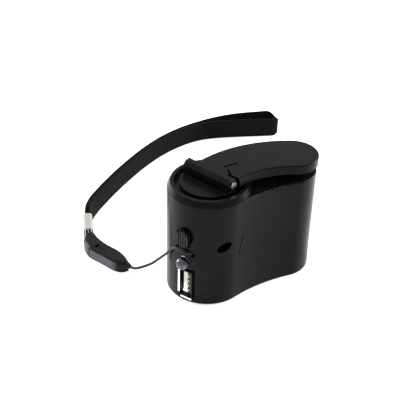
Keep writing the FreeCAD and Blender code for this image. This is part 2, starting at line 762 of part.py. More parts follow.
can_low = s.lower_plate_height - s.can_length
can_outside = cylinder("can_outside", "can_radius", "can_length", spot(BODY, s.generator_place, 0, can_low))
can_inside = cylinder("can_inside", "can_radius - can_skin", "can_length - can_skin",
                      spot(BODY, s.generator_place, 0, can_low))
can_eye = cylinder("can_eye", "rotor_shaft_radius + 0.6", "2 * can_length", spot(BODY, s.generator_place, 0, can_low))
can_notch = box("can_notch", "can_radius + 2 * can_skin", "can_radius / 2", "end_cap_height",
                spot(BODY, s.generator_place - 2 * s.can_radius, -s.can_radius / 4, can_low))
node("generator_can", cut("can", can_outside, can_inside, can_eye, can_notch))
cap_disc = cylinder("cap_disc", "can_radius - can_skin - fit_gap", "end_cap_height",
                    spot(BODY, s.generator_place, 0, can_low))
cap_bore = cylinder("cap_bore", "rotor_shaft_radius + running_gap", "2 * end_cap_height",
                    spot(BODY, s.generator_place, 0, can_low + 0.6))
node("generator_cap", cut("cap", cap_disc, cap_bore))

magnet_low = can_low + s.end_cap_height + 1.5
magnet_high = s.lower_plate_height - s.can_skin - 1
magnet_outside = s.can_radius - s.can_skin - s.fit_gap
magnet_ring = Part.makeCylinder(magnet_outside, magnet_high - magnet_low)
magnet_ring = magnet_ring.cut(Part.makeCylinder(magnet_outside - s.magnet_thickness, magnet_high - magnet_low))
magnet_gap = Part.makeBox(4 * magnet_outside, magnet_outside * 0.7, 2 * s.can_length)
magnet_gap.translate(Vector(-2 * magnet_outside, -magnet_outside * 0.35, -1))
magnets = magnet_ring.cut(magnet_gap)
node("generator_magnets", shaped("magnet_pair", magnets, spot(BODY, s.generator_place, 0, magnet_low)))

rotor_low = can_low + 0.7
rotor_top = low_layer + s.gear_thickness + 0.2
node("rotor_shaft", shaped("rotor_rod", Part.makeCylinder(s.rotor_shaft_radius, rotor_top - rotor_low),
                           spot(BODY, s.generator_place, 0, rotor_low)))
armature_low = magnet_low + 1.5
armature = Part.makeCylinder(s.armature_radius, s.armature_length)
for pole in range(3):
    slot = Part.makeBox(s.armature_radius, 1.6, s.armature_length, Vector(s.rotor_shaft_radius + 1.6, -0.8, 0))
    slot.rotate(Vector(0, 0, 0), UP, 120 * pole)
    armature = armature.cut(slot)
commutator = Part.makeCylinder(s.rotor_shaft_radius + 1.2, 2.2, Vector(0, 0, -2.2))
armature = armature.fuse(commutator).cut(Part.makeCylinder(s.rotor_shaft_radius + s.fit_gap, 4 * s.can_length,
                                                           Vector(0, 0, -s.can_length)))
node("rotor_armature", shaped("armature", armature, spot(BODY, s.generator_place, 0, armature_low)))
rotor_gap = toward(ROTOR_CENTRE, SECOND_CENTRE) + half_tooth / ROTOR_PINION_TEETH
rotor_pinion = gear("rotor_pinion_rim", ROTOR_PINION_TEETH, low_layer, s.gear_thickness, ROTOR_CENTRE, rotor_gap)
pinion_bore = cylinder("pinion_bore", "rotor_shaft_radius + fit_gap", "deck_height", Placement(ROTOR_CENTRE, LEVEL))
node("rotor_pinion", cut("rotor_pinion_solid", rotor_pinion, pinion_bore))

# Nose: drawn with X outward from the crank's axis through the socket

socket_back = socket_face - s.socket_long
half_wide, half_tall = s.socket_wide / 2, s.socket_tall / 2
socket_low, socket_high = s.socket_height - half_tall, s.socket_height + half_tall
socket_block = block((socket_back, -half_wide, socket_low), (socket_face, half_wide, socket_high))
side_flange = block(
    (socket_face - 0.5, -half_wide - s.socket_flange, socket_low + 0.8), (socket_face, -half_wide, socket_high - 0.8)
)
low_flange = block(
    (socket_face - 0.5, 0.3 - half_wide, socket_low - s.socket_flange), (socket_face, half_wide - 0.3, socket_low)
)
skin = s.socket_skin
side_spring = block(
    (socket_face - 6.3, skin - half_wide, socket_low + 1.6), (socket_face - 2.0, skin - half_wide + 0.25, socket_high - 1.6)
)
board_feet = [
    block((socket_back + 1, -half_wide - s.socket_aside, low), (socket_back + 4, -half_wide, low + 1.6))
    for low in (socket_low + 1, socket_high - 2.6)
]
socket_inside = block(
    (socket_back + skin, -half_wide + skin, socket_low + skin), (socket_face + 1, half_wide - skin, socket_high - skin)
)
socket_tube = socket_block.fuse([side_flange, low_flange, *board_feet]).cut(socket_inside).fuse(side_spring)
node("usb_shell", shaped("socket_tube", socket_tube.removeSplitter(), SOCKET))
tongue_side = half_wide - skin - 0.45 - s.tongue_thickness
tongue_tip = socket_face - 1.2
tongue = block(
    (socket_back + skin + 0.05, tongue_side, socket_low + 1.2),
    (tongue_tip, tongue_side + s.tongue_thickness, socket_high - 1.2),
)
tongue_foot = block(
    (socket_back + skin + 0.05, -half_wide + skin + 0.05, socket_low + skin + 0.05),
    (socket_back + 3, half_wide - skin - 0.05, socket_high - skin - 0.05),
)
node("usb_tongue", shaped("tongue", tongue.fuse(tongue_foot), SOCKET))
contacts = []
contact_skin, contact_gap = 0.2, 0.02
for number in range(4):
    z = s.socket_height + (number - 1.5) * 2.3
    strip_low = (socket_back + 3 + contact_gap, tongue_side - contact_gap - contact_skin, z - 0.4)
    tip_far = tongue_tip + contact_gap + contact_skin
    along = block(strip_low, (tip_far, tongue_side - contact_gap, z + 0.4))
    over_tip = block(
        (tongue_tip + contact_gap, tongue_side - contact_gap - contact_skin, z - 0.4),
        (tip_far, tongue_side + 0.5 * s.tongue_thickness, z + 0.4),
    )
    contacts.append(along.fuse(over_tip))
node("usb_contacts", shaped("contact_set", Part.Compound(contacts), SOCKET))

board_face = -half_wide - s.fit_gap
board_rear = board_face - s.board_thickness
board_back = socket_back - 5.0
board_front = board_back + s.board_length
board_low, board_high = s.wall + 0.3, s.lower_plate_height - 1.5
board_tab_back = board_front - 4.8
board = block((board_back, board_rear, board_low), (board_front, board_face, board_high))
board = board.fuse(
    block((board_tab_back, board_rear, board_low), (board_front, board_face, s.button_height + s.button_tall / 2))
)
node("circuit_board", shaped("board", board, NOSE))

light_flange_back = s.big_end_radius - s.wall - 2.4
light_body = Part.makeCylinder(s.light_radius, s.big_end_radius + s.light_reach - light_flange_back)
light_dome = Part.makeSphere(s.light_radius, Vector(0, 0, s.big_end_radius + s.light_reach - light_flange_back))
light_flange = Part.makeCylinder(s.light_radius + 0.3, 1.0)
light = light_body.fuse(light_dome).fuse(light_flange)
light = light.cut(Part.makeBox(20, 20, 20, Vector(-10, -10, -20)))
node("led_lens", shaped("light", light, spot(NOSE, light_flange_back, 0, s.light_height, ALONG_X)))
lead_turn = board_front - 4.5
leads = []
for z in (s.light_height - 1.27, s.light_height + 1.27):
    straight = block((lead_turn, -0.25, z - 0.25), (light_flange_back - 0.02, 0.25, z + 0.25))
    down = block((lead_turn, board_face + 0.02, z - 0.25), (lead_turn + 0.5, 0.25, z + 0.25))
    leads.append(straight.fuse(down))
node("led_leads", shaped("lead_pair", Part.Compound(leads), NOSE))

button_out = s.big_end_radius + s.button_reach
backing_inside = s.big_end_radius - 1.6 * s.wall
button_stop = 0.8
button_in = backing_inside - 0.1 - button_stop
button = oval_bar(s.button_wide, s.button_tall, button_in, button_out)
groove_wide = 0.45
for y in (-1.5, -0.5, 0.5, 1.5):
    low_corner = (button_out - groove_wide, y - groove_wide / 2, -s.button_tall)
    button = button.cut(block(low_corner, (button_out + 1, y + groove_wide / 2, s.button_tall)))
stop = oval_bar(s.button_wide + 1.6, s.button_tall + 1.6, button_in, button_in + button_stop)
node("button_cap", shaped("button", button.fuse(stop), spot(NOSE, 0, 0, s.button_height)))

switch_face = button_in - s.button_travel - 0.6
switch = block((switch_face - 3.2, board_face + 0.02, s.button_height - 2.8), (switch_face, 2.6, s.button_height + 2.8))
plunger = Part.makeCylinder(1.5, 0.5, Vector(switch_face, 0, s.button_height), Vector(1, 0, 0))
node("light_switch", shaped("switch", switch.fuse(plunger), NOSE))

# Parts on the board's back face
part_face = board_rear - 0.02
chip_low = board_low + 10.3
diode_low = chip_low + s.chip_height + 1.0 + s.diode_radius
diodes = []
for number in range(4):
    x = board_back + 1.5 + 1.4 * s.diode_length * (number % 2)
    z = diode_low + 2.7 * s.diode_radius * (number // 2)
    centre = Vector(x, part_face - s.diode_radius, z)
    diodes.append(Part.makeCylinder(s.diode_radius, s.diode_length, centre, Vector(1, 0, 0)))
node("rectifier_diodes", shaped("diode_set", Part.Compound(diodes), NOSE))
capacitor_centre = Vector(board_back + 0.6, part_face - s.capacitor_radius, board_low + 5.9)
capacitor = Part.makeCylinder(s.capacitor_radius, s.capacitor_length, capacitor_centre, Vector(1, 0, 0))
node("storage_capacitor", shaped("capacitor", capacitor, NOSE))
chip = block(
    (board_back + 1, part_face - s.chip_thickness, chip_low),
    (board_back + 1 + s.chip_length, part_face, chip_low + s.chip_height),
)
node("regulator_chip", shaped("chip", chip, NOSE))
coil_reach = s.coil_radius + s.coil_wire_radius
coil_centre = Vector(board_back + 1.6 + coil_reach, part_face - s.coil_wire_radius, board_high - 0.5 - coil_reach)
inductor = Part.makeTorus(s.coil_radius, s.coil_wire_radius, coil_centre, Vector(0, 1, 0))
node("coil_inductor", shaped("inductor", inductor, NOSE))

# Cords and straps: straight runs between the points of a route, joined by tangent arcs

ARC_SHARE = 0.45


def bends(points):
    """For each inner point of a route: where its arc starts, its middle, where it ends, and its radius."""
    found = []
    for before, corner, after in zip(points, points[1:], points[2:]):
        into, out = corner - before, after - corner
        reach = ARC_SHARE * min(into.Length, out.Length)
        turn = into.getAngle(out)
        into.normalize()
        out.normalize()
        radius = reach / math.tan(turn / 2)
        start, end = corner - into * reach, corner + out * reach
        inward = out - into
        inward.normalize()
        centre = corner + inward * (radius / math.cos(turn / 2))
        found.append((start, centre - inward * radius, end, radius, centre))
    return found


def tube(name, points, radius):
    edges, last = [], points[0]
    arcs = bends(points)
    for start, middle, end, _, _ in arcs:
        edges.append(line(last, start))
        edges.append(Part.Arc(start, middle, end).toShape())
        last = end
    edges.append(line(last, points[-1]))
    path = Part.Wire(edges)
    ring = Part.Wire([Part.makeCircle(radius, points[0], points[1] - points[0])])
    solid = path.makePipeShell([ring], True, False)
    expected = math.pi * radius**2 * path.Length
    smallest = min(bend[3] for bend in arcs)
    print(f"{name}: {path.Length:.1f} mm long, volume {solid.Volume / expected:.4f} of section times length, "
          f"smallest radius {smallest:.1f}, radii", [round(bend[3], 1) for bend in arcs])
    return solid


def strip(name, points, half, low, tall):
    """An upright band of even thickness along a plane route."""
    arcs = bends(points)
    sides = []
    for sign in (1, -1):
        edges = []
        way = (points[1] - points[0]).normalize()
        last = points[0] + Vector(-way.y, way.x, 0) * (sign * half)
        for start, middle, end, radius, centre in arcs:
            into = start - centre
            left_turn = (end - start).cross(centre - start).z > 0
            share = (radius - half * sign * (1 if left_turn else -1)) / into.Length
            shifted = [centre + (point - centre) * share for point in (start, middle, end)]
            edges.append(line(last, shifted[0]))
            edges.append(Part.Arc(*shifted).toShape())
            last = shifted[2]
        way = (points[-1] - points[-2]).normalize()
        finish = points[-1] + Vector(-way.y, way.x, 0) * (sign * half)
        edges.append(line(last, finish))
        sides.append((edges, edges[0].Vertexes[0].Point, finish))
    caps = [line(sides[0][2], sides[1][2]), line(Vector(sides[1][1]), Vector(sides[0][1]))]
    wire = Part.Wire(Part.__sortEdges__([*sides[0][0], caps[0], *sides[1][0], caps[1]]))
    face = Part.Face(wire)
    face.translate(Vector(0, 0, low))
    length = sum(edge.Length for edge in sides[0][0])
    print(f"{name}: {length:.1f} mm long, radii", [round(bend[3], 1) for bend in arcs])
    return face.extrude(Vector(0, 0, tall))


def lead(points):
    return [Vector(*point) for point in points]


lead_start = s.generator_place - s.can_radius + s.can_skin + s.fit_gap
LEAD_ROUTES = [
    [(lead_start, 1.2, 10.2), (19.6, 2.0, 10.3), (14, 4.6, 10.8), (8.5, 7.4, 11.3), (3.8, 6.7, 11.5), (-0.3, 4.25, 11.5)],
    [(lead_start, -1.2, 10.2), (19.6, -0.4, 10.0), (14, 2.4, 9.6), (8.5, 6.2, 9.2), (3.8, 6.7, 9.0), (-0.3, 4.25, 9.0)],
]
generator_leads = [tube(f"generator lead {number}", lead(route), 0.5) for number, route in enumerate(LEAD_ROUTES)]
node("generator_leads", shaped("generator_lead_pair", Part.Compound(generator_leads)))

BUCKLE = turned(s.buckle_turn, -37.0, 43.5)
beak_length, beak_radius = 3.0, 1.6
beak_tip = 28.6
cord_end = beak_tip - 2.2
tip_height = 0.64 * s.buckle_tall

CORD_ROUTE = [
    NOSE.multVec(Vector(12.4, 3.4, 24.3)),
    NOSE.multVec(Vector(17.5, 3.4, 24.3)),
    NOSE.multVec(Vector(17.4, -4.4, 25.9)),
    Vector(-17.6, -2.2, 21.6),
    Vector(-18.1, 1.6, 17.2),
    Vector(-18.5, 4.8, 13.6),
    Vector(-19.0, 7.3, 10.8),
    Vector(-19.8, 9.2, 8.3),
    Vector(-21.6, 11.1, 6.2),
    Vector(-24.0, 12.4, 4.9),
    BUCKLE.multVec(Vector(beak_tip + 2.7, 0.5, tip_height + 0.3)),
    BUCKLE.multVec(Vector(beak_tip + 0.4, 0, tip_height)),
    BUCKLE.multVec(Vector(cord_end, 0, tip_height)),
]
cord_radius = s.cord_diameter / 2
node("lanyard_cord", shaped("cord", tube("lanyard cord", CORD_ROUTE, cord_radius)))
knot = Part.makeSphere(1.5, CORD_ROUTE[0] - nose_way * 1.35)
knot = knot.cut(Part.makeCylinder(2, 2, CORD_ROUTE[0], nose_way))
node("cord_knot", shaped("knot", knot))

# The buckle's plan: distance from its strap end, and the share of its width to either side of the middle line
BUCKLE_PLAN = [
    (0.9, -0.17),
    (2.3, -0.36),
    (5.6, -0.56),
    (8.6, -0.66),
    (11.8, -0.64),
    (15.0, -0.58),
    (18.5, -0.54),
    (22.5, -0.49),
    (25.2, -0.36),
    (26.8, -0.14),
    (27.0, 0.06),
    (25.8, 0.18),
    (23.5, 0.29),
    (19.7, 0.38),
    (16.8, 0.38),
    (13.8, 0.32),
    (10.2, 0.29),
    (6.7, 0.32),
    (3.6, 0.38),
    (1.1, 0.47),
    (-0.2, 0.45),
    (-0.5, 0.22),
]
BUCKLE_MIDDLE = Vector(13.3, -0.13 * s.buckle_wide, 0)


def buckle_outline(z, along, across):
    """The buckle's plan as a closed curve at a height, drawn in toward its middle by two shares."""
    points = []
    for x, share in BUCKLE_PLAN:
        out = Vector(x, share * s.buckle_wide, 0) - BUCKLE_MIDDLE
        points.append(BUCKLE_MIDDLE + Vector(out.x * along, out.y * across, z))
    curve = Part.BSplineCurve()
    curve.interpolate(points, PeriodicFlag=True)
    return Part.Wire(curve.toShape())


shoulder = 0.78 * s.buckle_tall
buckle_low = Part.Face(buckle_outline(0, 1, 1)).extrude(Vector(0, 0, shoulder))
buckle_crown = Part.makeLoft([buckle_outline(shoulder, 1, 1), buckle_outline(s.buckle_tall, 0.94, 0.76)], True, True)
buckle_body = buckle_low.fuse(buckle_crown)

mouth_gap = 0.05
reach = 40.0
strap_half = buckle_body.common(block((-reach, -reach, -1), (s.buckle_mouth, reach, reach)))
cord_half = buckle_body.common(block((s.buckle_mouth + mouth_gap, -reach, -1), (reach, reach, reach)))
prong_low, prong_high = 0.24 * s.buckle_tall, 0.7 * s.buckle_tall
slot_half = s.strap_thickness + 0.55
slot_inside = block((0, -slot_half, -1), (5.4, slot_half, s.strap_fold + 0.15))
slot_inside.Placement = turned(168.5, 5.0, 0.58)
slot_outside = block((0, -slot_half, -1), (6.0, slot_half, s.strap_fold + 0.15))
slot_outside.Placement = turned(143.0, 0.6, 1.3)
strap_slot = slot_inside.fuse(slot_outside)
prong_slot = block((6.0, -3.2, prong_low - 0.2), (s.buckle_mouth + 1, 0.6, prong_high + 0.2))
node("buckle_socket", shaped("buckle_front", strap_half.cut(strap_slot).cut(prong_slot), BUCKLE))

prong = block((6.2, -3.0, prong_low), (s.buckle_mouth + 1, 0.4, prong_high))
beak_root = Vector(beak_tip - beak_length, 0, tip_height)
beak = Part.makeCone(beak_radius, cord_radius + 0.4, beak_length, beak_root, Vector(1, 0, 0))
cord_hole = Part.makeCylinder(cord_radius + 0.02, 4.0, Vector(cord_end - 0.02, 0, tip_height), Vector(1, 0, 0))
wedge_corners = [Vector(s.buckle_mouth - 1, -3.1, 2.6), Vector(17.8, -3.1, 2.6), Vector(s.buckle_mouth - 1, -0.4, 2.6)]
wedge = Part.Face(Part.makePolygon([*wedge_corners, wedge_corners[0]])).extrude(Vector(0, 0, s.buckle_tall))
cord_half = cord_half.cut(wedge).fuse([prong, beak]).cut(cord_hole)
node("buckle_plug", shaped("buckle_tip", cord_half.removeSplitter(), BUCKLE))

layer_offset = s.strap_thickness / 2 + 0.15
STRAP_MIDDLE = [
    BUCKLE.multVec(Vector(4.4, 0.7, 0)),
    Vector(-35.5, 43.9, 0),
    Vector(-34.6, 46.9, 0),
    Vector(-32.2, 54.6, 0),
    Vector(-29.2, 59.6, 0),
    Vector(-24.6, 64.6, 0),
    Vector(-12.6, 75.0, 0),
    Vector(0.0, 84.7, 0),
    Vector(12.0, 92.8, 0),
    Vector(24.0, 99.2, 0),
    Vector(36.0, 103.2, 0),
]
FOLD_MIDDLE = Vector(87.2, 97.4, 0)
NEAR_END = [
    Vector(47.0, 104.0, 0),
    Vector(58.0, 101.6, 0),
    Vector(69.0, 98.0, 0),
    Vector(78.0, 94.8, 0),
    Vector(84.4, 92.6, 0),
    Vector(87.2, 94.0, 0),
    FOLD_MIDDLE - Vector(0, 0.02, 0),
]
FAR_END = [
    Vector(47.0, 105.8, 0),
    Vector(58.5, 106.6, 0),
    Vector(70.0, 105.4, 0),
    Vector(79.0, 103.0, 0),
    Vector(84.6, 101.8, 0),
    Vector(87.2, 100.6, 0),
    FOLD_MIDDLE + Vector(0, 0.02, 0),
]


def beside(points, offset):
    """A plane route moved to its left by offset."""
    moved = []
    for number, point in enumerate(points):
        before, after = points[max(number - 1, 0)], points[min(number + 1, len(points) - 1)]
        way = (after - before).normalize()
        moved.append(point + Vector(-way.y, way.x, 0) * offset)
    return moved


# The webbing is folded lower where it goes into the keeper and the buckle
keeper_start, keeper_end = STRAP_MIDDLE[1], STRAP_MIDDLE[3]
KEEPER = turned(degrees_of(keeper_end - keeper_start), *keeper_start)
fold_start, fold_end = 1.0, 13.0
fold_slope = (s.strap_width - s.strap_fold) / (fold_end - fold_start)


def strap_top(x):
    """The webbing's height at a distance along the keeper's line."""
    return s.strap_fold + fold_slope * (x - fold_start)


over = s.strap_width + 5
above_profile = [(-14, s.strap_fold), (fold_start, s.strap_fold), (fold_end, s.strap_width), (fold_end, over), (-14, over)]
above_points = [Vector(x, -6, z) for x, z in above_profile]
above_strap = Part.Face(Part.makePolygon([*above_points, above_points[0]])).extrude(Vector(0, 12, 0))
above_strap.Placement = KEEPER
half_strap = s.strap_thickness / 2
near_route = beside(STRAP_MIDDLE, -layer_offset) + NEAR_END
far_route = beside(STRAP_MIDDLE, layer_offset) + FAR_END
near_layer = strip("near strap", near_route, half_strap, 0, s.strap_width).cut(above_strap)
far_layer = strip("far strap", far_route, half_strap, 0, s.strap_width).cut(above_strap)
node("wrist_strap_near", shaped("near_layer", near_layer))
node("wrist_strap_far", shaped("far_layer", far_layer))


def keeper_block(start, end, half, rise, low, corner):
    """An upright block along the strap whose top keeps rise above the webbing, with its top corners taken off."""
    sections = []
    for x in (start, end):
        top = strap_top(x) + rise
        outline_points = [
            Vector(x, -half, low),
            Vector(x, half, low),
            Vector(x, half, top - corner),
            Vector(x, half - corner, top),
            Vector(x, corner - half, top),
            Vector(x, -half, top - corner),
        ]
        sections.append(Part.makePolygon([*outline_points, outline_points[0]]))
    return Part.makeLoft(sections, True, True)


keeper_near = 2.2
keeper_far = keeper_near + s.keeper_length
keeper_gap = s.strap_thickness + 0.15 + 0.35
outside_half = keeper_gap + s.keeper_skin
keeper_outside = keeper_block(keeper_near, keeper_far, outside_half, 0.15 + s.keeper_skin, 0, 0.9)
keeper_inside = keeper_block(keeper_near - 1, keeper_far + 1, keeper_gap, 0.15, -1, 0.01)
node("strap_keeper", shaped("keeper", keeper_outside.cut(keeper_inside), KEEPER))

doc.recompute()
for thing in doc.Objects:
    if "Invalid" in thing.State or "Error" in thing.State:
        raise RuntimeError(f"{thing.Name} failed: {thing.State}")
os.makedirs("parts", exist_ok=True)
for label, thing in nodes.items():
    if thing.Shape.isNull() or not thing.Shape.isValid():
        raise RuntimeError(f"{label} has no valid shape")
    thing.Shape.exportStep(f"parts/{label}.step")
    print(label, len(thing.Shape.Solids), "solids", round(thing.Shape.Volume, 2), "mm3")
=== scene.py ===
import json
import math

import bpy
from mathutils import Matrix, Vector


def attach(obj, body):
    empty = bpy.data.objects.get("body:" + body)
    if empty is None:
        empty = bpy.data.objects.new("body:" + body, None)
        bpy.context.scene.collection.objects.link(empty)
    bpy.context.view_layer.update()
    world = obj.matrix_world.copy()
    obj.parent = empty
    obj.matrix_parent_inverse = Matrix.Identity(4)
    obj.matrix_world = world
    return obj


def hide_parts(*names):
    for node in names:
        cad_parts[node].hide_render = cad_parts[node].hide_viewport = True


# Hand crank phone charger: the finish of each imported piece, the cord, the strap and what the case carries.
# Metres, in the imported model's own frame.

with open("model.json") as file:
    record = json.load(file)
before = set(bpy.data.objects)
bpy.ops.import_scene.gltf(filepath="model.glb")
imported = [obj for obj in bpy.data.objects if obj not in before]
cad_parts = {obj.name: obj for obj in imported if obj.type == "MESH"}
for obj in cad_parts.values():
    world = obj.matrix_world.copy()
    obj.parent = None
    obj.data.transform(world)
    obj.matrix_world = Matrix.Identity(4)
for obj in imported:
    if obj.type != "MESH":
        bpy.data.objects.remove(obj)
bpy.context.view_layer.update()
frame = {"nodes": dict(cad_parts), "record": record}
scene = bpy.context.scene
MM = 0.001


def mm(x, y, z=0.0):
    return Vector((x, y, z)) * MM


def heading(degrees, x=0.0, y=0.0, z=0.0):
    """A frame turned about Z by degrees, its origin given in millimetres."""
    return Matrix.Translation(mm(x, y, z)) @ Matrix.Rotation(math.radians(degrees), 4, "Z")


# Frames of the big end's nose, the crank and the buckle
NOSE = heading(-149.0)
CRANK = heading(24.0)
BUCKLE = heading(-70.0, -37.0, 43.5)
AHEAD, ASIDE = Vector((1, 0, 0)), Vector((0, 1, 0))

# Camera, at the photograph's angle

CAMERA_TURN, CAMERA_TILT, CAMERA_ROLL = 26.949, 34.708, 1.872
CAMERA_DISTANCE = 0.38723
CAMERA_TARGET = mm(12.571, 25.097, 16.4)

camera = bpy.data.objects.new("camera", bpy.data.cameras.new("camera"))
scene.collection.objects.link(camera)
azimuth, elevation, roll = (math.radians(a) for a in (CAMERA_TURN, CAMERA_TILT, CAMERA_ROLL))
toward_camera = Vector(
    (-math.sin(azimuth) * math.cos(elevation), -math.cos(azimuth) * math.cos(elevation), math.sin(elevation))
)
right = (-toward_camera).cross(Vector((0, 0, 1))).normalized()
up = right.cross(-toward_camera)
rolled_right = math.cos(roll) * right + math.sin(roll) * up
rolled_up = math.cos(roll) * up - math.sin(roll) * right
camera_turned = Matrix((rolled_right, rolled_up, toward_camera)).transposed().to_4x4()
camera.matrix_world = Matrix.Translation(CAMERA_TARGET + toward_camera * CAMERA_DISTANCE) @ camera_turned
camera.data.sensor_width = 36.0
camera.data.lens = 77.885
camera.data.clip_start = 0.01
scene.camera = camera
scene.view_settings.view_transform = "Standard"

# Cord and strap routes: the model's own points, in millimetres

STRAP_THICKNESS = 1.0
STRAP_WIDTH = 10.0
LAYER_OFFSET = STRAP_THICKNESS / 2 + 0.15
CORD_DIAMETER = 1.2
# The strap is folded this low at the keeper; it widens again between these two distances past it
STRAP_FOLD = 4.2
FOLD_START, FOLD_END = 1.0, 13.0
# Where along X the rounding of the strap's far corners starts and ends, and how much comes off
ROUND_START, ROUND_END = 83.4, 87.25
ROUND_DEPTH = 2.6


def placed(matrix, x, y, z):
    """A point given in millimetres in a turned frame, as millimetres in the model's frame."""
    return (matrix @ mm(x, y, z)) / MM


CORD_ROUTE = [
    placed(NOSE, 12.4, 3.4, 24.3),
    placed(NOSE, 17.5, 3.4, 24.3),
    placed(NOSE, 17.4, -4.4, 25.9),
    Vector((-17.6, -2.2, 21.6)),
    Vector((-18.1, 1.6, 17.2)),
    Vector((-18.5, 4.8, 13.6)),
    Vector((-19.0, 7.3, 10.8)),
    Vector((-19.8, 9.2, 8.3)),
    Vector((-21.6, 11.1, 6.2)),
    Vector((-24.0, 12.4, 4.9)),
    placed(BUCKLE, 31.3, 0.5, 3.5),
    placed(BUCKLE, 29.0, 0, 3.2),
    placed(BUCKLE, 26.4, 0, 3.2),
]
STRAP_MIDDLE = [
    placed(BUCKLE, 4.4, 0.7, 0),
    Vector((-35.5, 43.9, 0)),
    Vector((-34.6, 46.9, 0)),
    Vector((-32.2, 54.6, 0)),
    Vector((-29.2, 59.6, 0)),
    Vector((-24.6, 64.6, 0)),
    Vector((-12.6, 75.0, 0)),
    Vector((0.0, 84.7, 0)),
    Vector((12.0, 92.8, 0)),
    Vector((24.0, 99.2, 0)),
    Vector((36.0, 103.2, 0)),
]
# The two layers part here and meet again at the far fold
NEAR_END = [(47.0, 104.0), (58.0, 101.6), (69.0, 98.0), (78.0, 94.8), (84.4, 92.6)]
NEAR_END += [(87.2, 94.0), (87.2, 97.38)]
FAR_END = [(47.0, 105.8), (58.5, 106.6), (70.0, 105.4), (79.0, 103.0), (84.6, 101.8)]
FAR_END += [(87.2, 100.6), (87.2, 97.42)]


def beside(points, offset):
    """A plane route moved to its left by offset."""
    moved = []
    for number, point in enumerate(points):
        before, after = points[max(number - 1, 0)], points[min(number + 1, len(points) - 1)]
        way = (after - before).normalized()
        moved.append(point + Vector((-way.y, way.x, 0)) * offset)
    return moved


def smooth_curve(name, route, lift=0.0):
    """One open spline that the route's points steer."""
    curve = bpy.data.curves.new(name, "CURVE")
    curve.dimensions = "3D"
    curve.resolution_u = 8
    spline = curve.splines.new("NURBS")
    spline.points.add(len(route) - 1)
    for place, point in zip(spline.points, route):
        place.co = (point.x * MM, point.y * MM, (point.z + lift) * MM, 1)
    spline.order_u = 3
    spline.use_endpoint_u = True
    thing = bpy.data.objects.new(name, curve)
    scene.collection.objects.link(thing)
    return thing


def followed(curve):
    """The points along a curve's line."""
    bpy.context.view_layer.update()
    line = bpy.data.meshes.new_from_object(curve)
    points = [vertex.co.copy() for vertex in line.vertices]
    bpy.data.meshes.remove(line)
    return points


def path_length(points):
    return sum((b - a).length for a, b in zip(points, points[1:]))


# Modelling


def only(thing):
    """Makes this the one selected, active piece."""
    bpy.ops.object.select_all(action="DESELECT")
    thing.select_set(True)
    bpy.context.view_layer.objects.active = thing


def named(name):
    thing = bpy.context.active_object
    thing.name = name
    thing.data.name = name
    return thing


def modified(thing, kind, **settings):
    """Adds a modifier and applies it."""
    only(thing)
    modifier = thing.modifiers.new(kind.lower(), kind)
    for setting, value in settings.items():
        setattr(modifier, setting, value)
    bpy.ops.object.modifier_apply(modifier=modifier.name)


def settled(thing):
    """Puts the piece's place into its mesh."""
    only(thing)
    bpy.ops.object.transform_apply(location=True, rotation=True, scale=True)


# Materials


def new_material(name, rough=0.4, metal=0.0, colour=(0.5, 0.5, 0.5)):
    material = bpy.data.materials.new(name)
    material.use_nodes = True
    shader = material.node_tree.nodes["Principled BSDF"]
    shader.inputs["Roughness"].default_value = rough
    shader.inputs["Metallic"].default_value = metal
    shader.inputs["Base Color"].default_value = (*colour, 1)
    return material, material.node_tree, shader


def put(tree, kind, **settings):
    """Adds a shader node; a setting is a property of it or the value of one of its inputs."""
    node = tree.nodes.new(kind)
    for key, value in settings.items():
        if hasattr(node, key):
            setattr(node, key, value)
        else:
            node.inputs[key.replace("_", " ")].default_value = value
    return node


def wire(tree, source, target):
    tree.links.new(source, target)


def worked(tree, operation, first, second=None, third=None, clamp=False):
    """A Math node on numbers or sockets; gives its output."""
    node = tree.nodes.new("ShaderNodeMath")
    node.operation = operation
    node.use_clamp = clamp
    for place, value in zip(node.inputs, (first, second, third)):
        if value is None:
            continue
        if isinstance(value, (int, float)):
            place.default_value = value
        else:
            wire(tree, value, place)
    return node.outputs[0]


def blended(tree, share, low, high):
    """A colour between low and high; each is a socket or an rgb triple."""
    node = tree.nodes.new("ShaderNodeMix")
    node.data_type = "RGBA"
    wire(tree, share, node.inputs["Factor"])
    for place, value in ((node.inputs["A"], low), (node.inputs["B"], high)):
        if isinstance(value, tuple):
            place.default_value = (*value, 1)
        else:
            wire(tree, value, place)
    return next(out for out in node.outputs if out.type == "RGBA" and out.enabled)


def new_group(name, inputs, outputs):
    """A shader node group: inputs are (name, kind, value), outputs are (name, kind)."""
    group = bpy.data.node_groups.new(name, "ShaderNodeTree")
    for label, kind, value in inputs:
        group.interface.new_socket(label, in_out="INPUT", socket_type=kind).default_value = value
    for label, kind in outputs:
        group.interface.new_socket(label, in_out="OUTPUT", socket_type=kind)
    return group, group.nodes.new("NodeGroupInput").outputs, group.nodes.new("NodeGroupOutput").inputs


FLOAT, COLOUR, VECTOR = "NodeSocketFloat", "NodeSocketColor", "NodeSocketVector"


def noise_of(tree, where, scale, detail=3.0, rough=0.55):
    node = put(tree, "ShaderNodeTexNoise", Detail=detail, Roughness=rough)
    if isinstance(scale, (int, float)):
        node.inputs["Scale"].default_value = scale
    else:
        wire(tree, scale, node.inputs["Scale"])
    wire(tree, where, node.inputs["Vector"])
    return node.outputs[0]


def in_range(tree, value, low, high):
    """0 below low, 1 above high, smooth between; with low above high it is the other way round."""
    node = put(tree, "ShaderNodeMapRange", interpolation_type="SMOOTHSTEP", From_Min=low, From_Max=high)
    wire(tree, value, node.inputs["Value"])
    return node.outputs[0]


def within(tree, value, low, high, blur):
    """1 between low and high, 0 outside them; blur is the width of the change at each."""
    rise = in_range(tree, value, low, low + blur)
    return worked(tree, "MULTIPLY", rise, in_range(tree, value, high, high - blur))


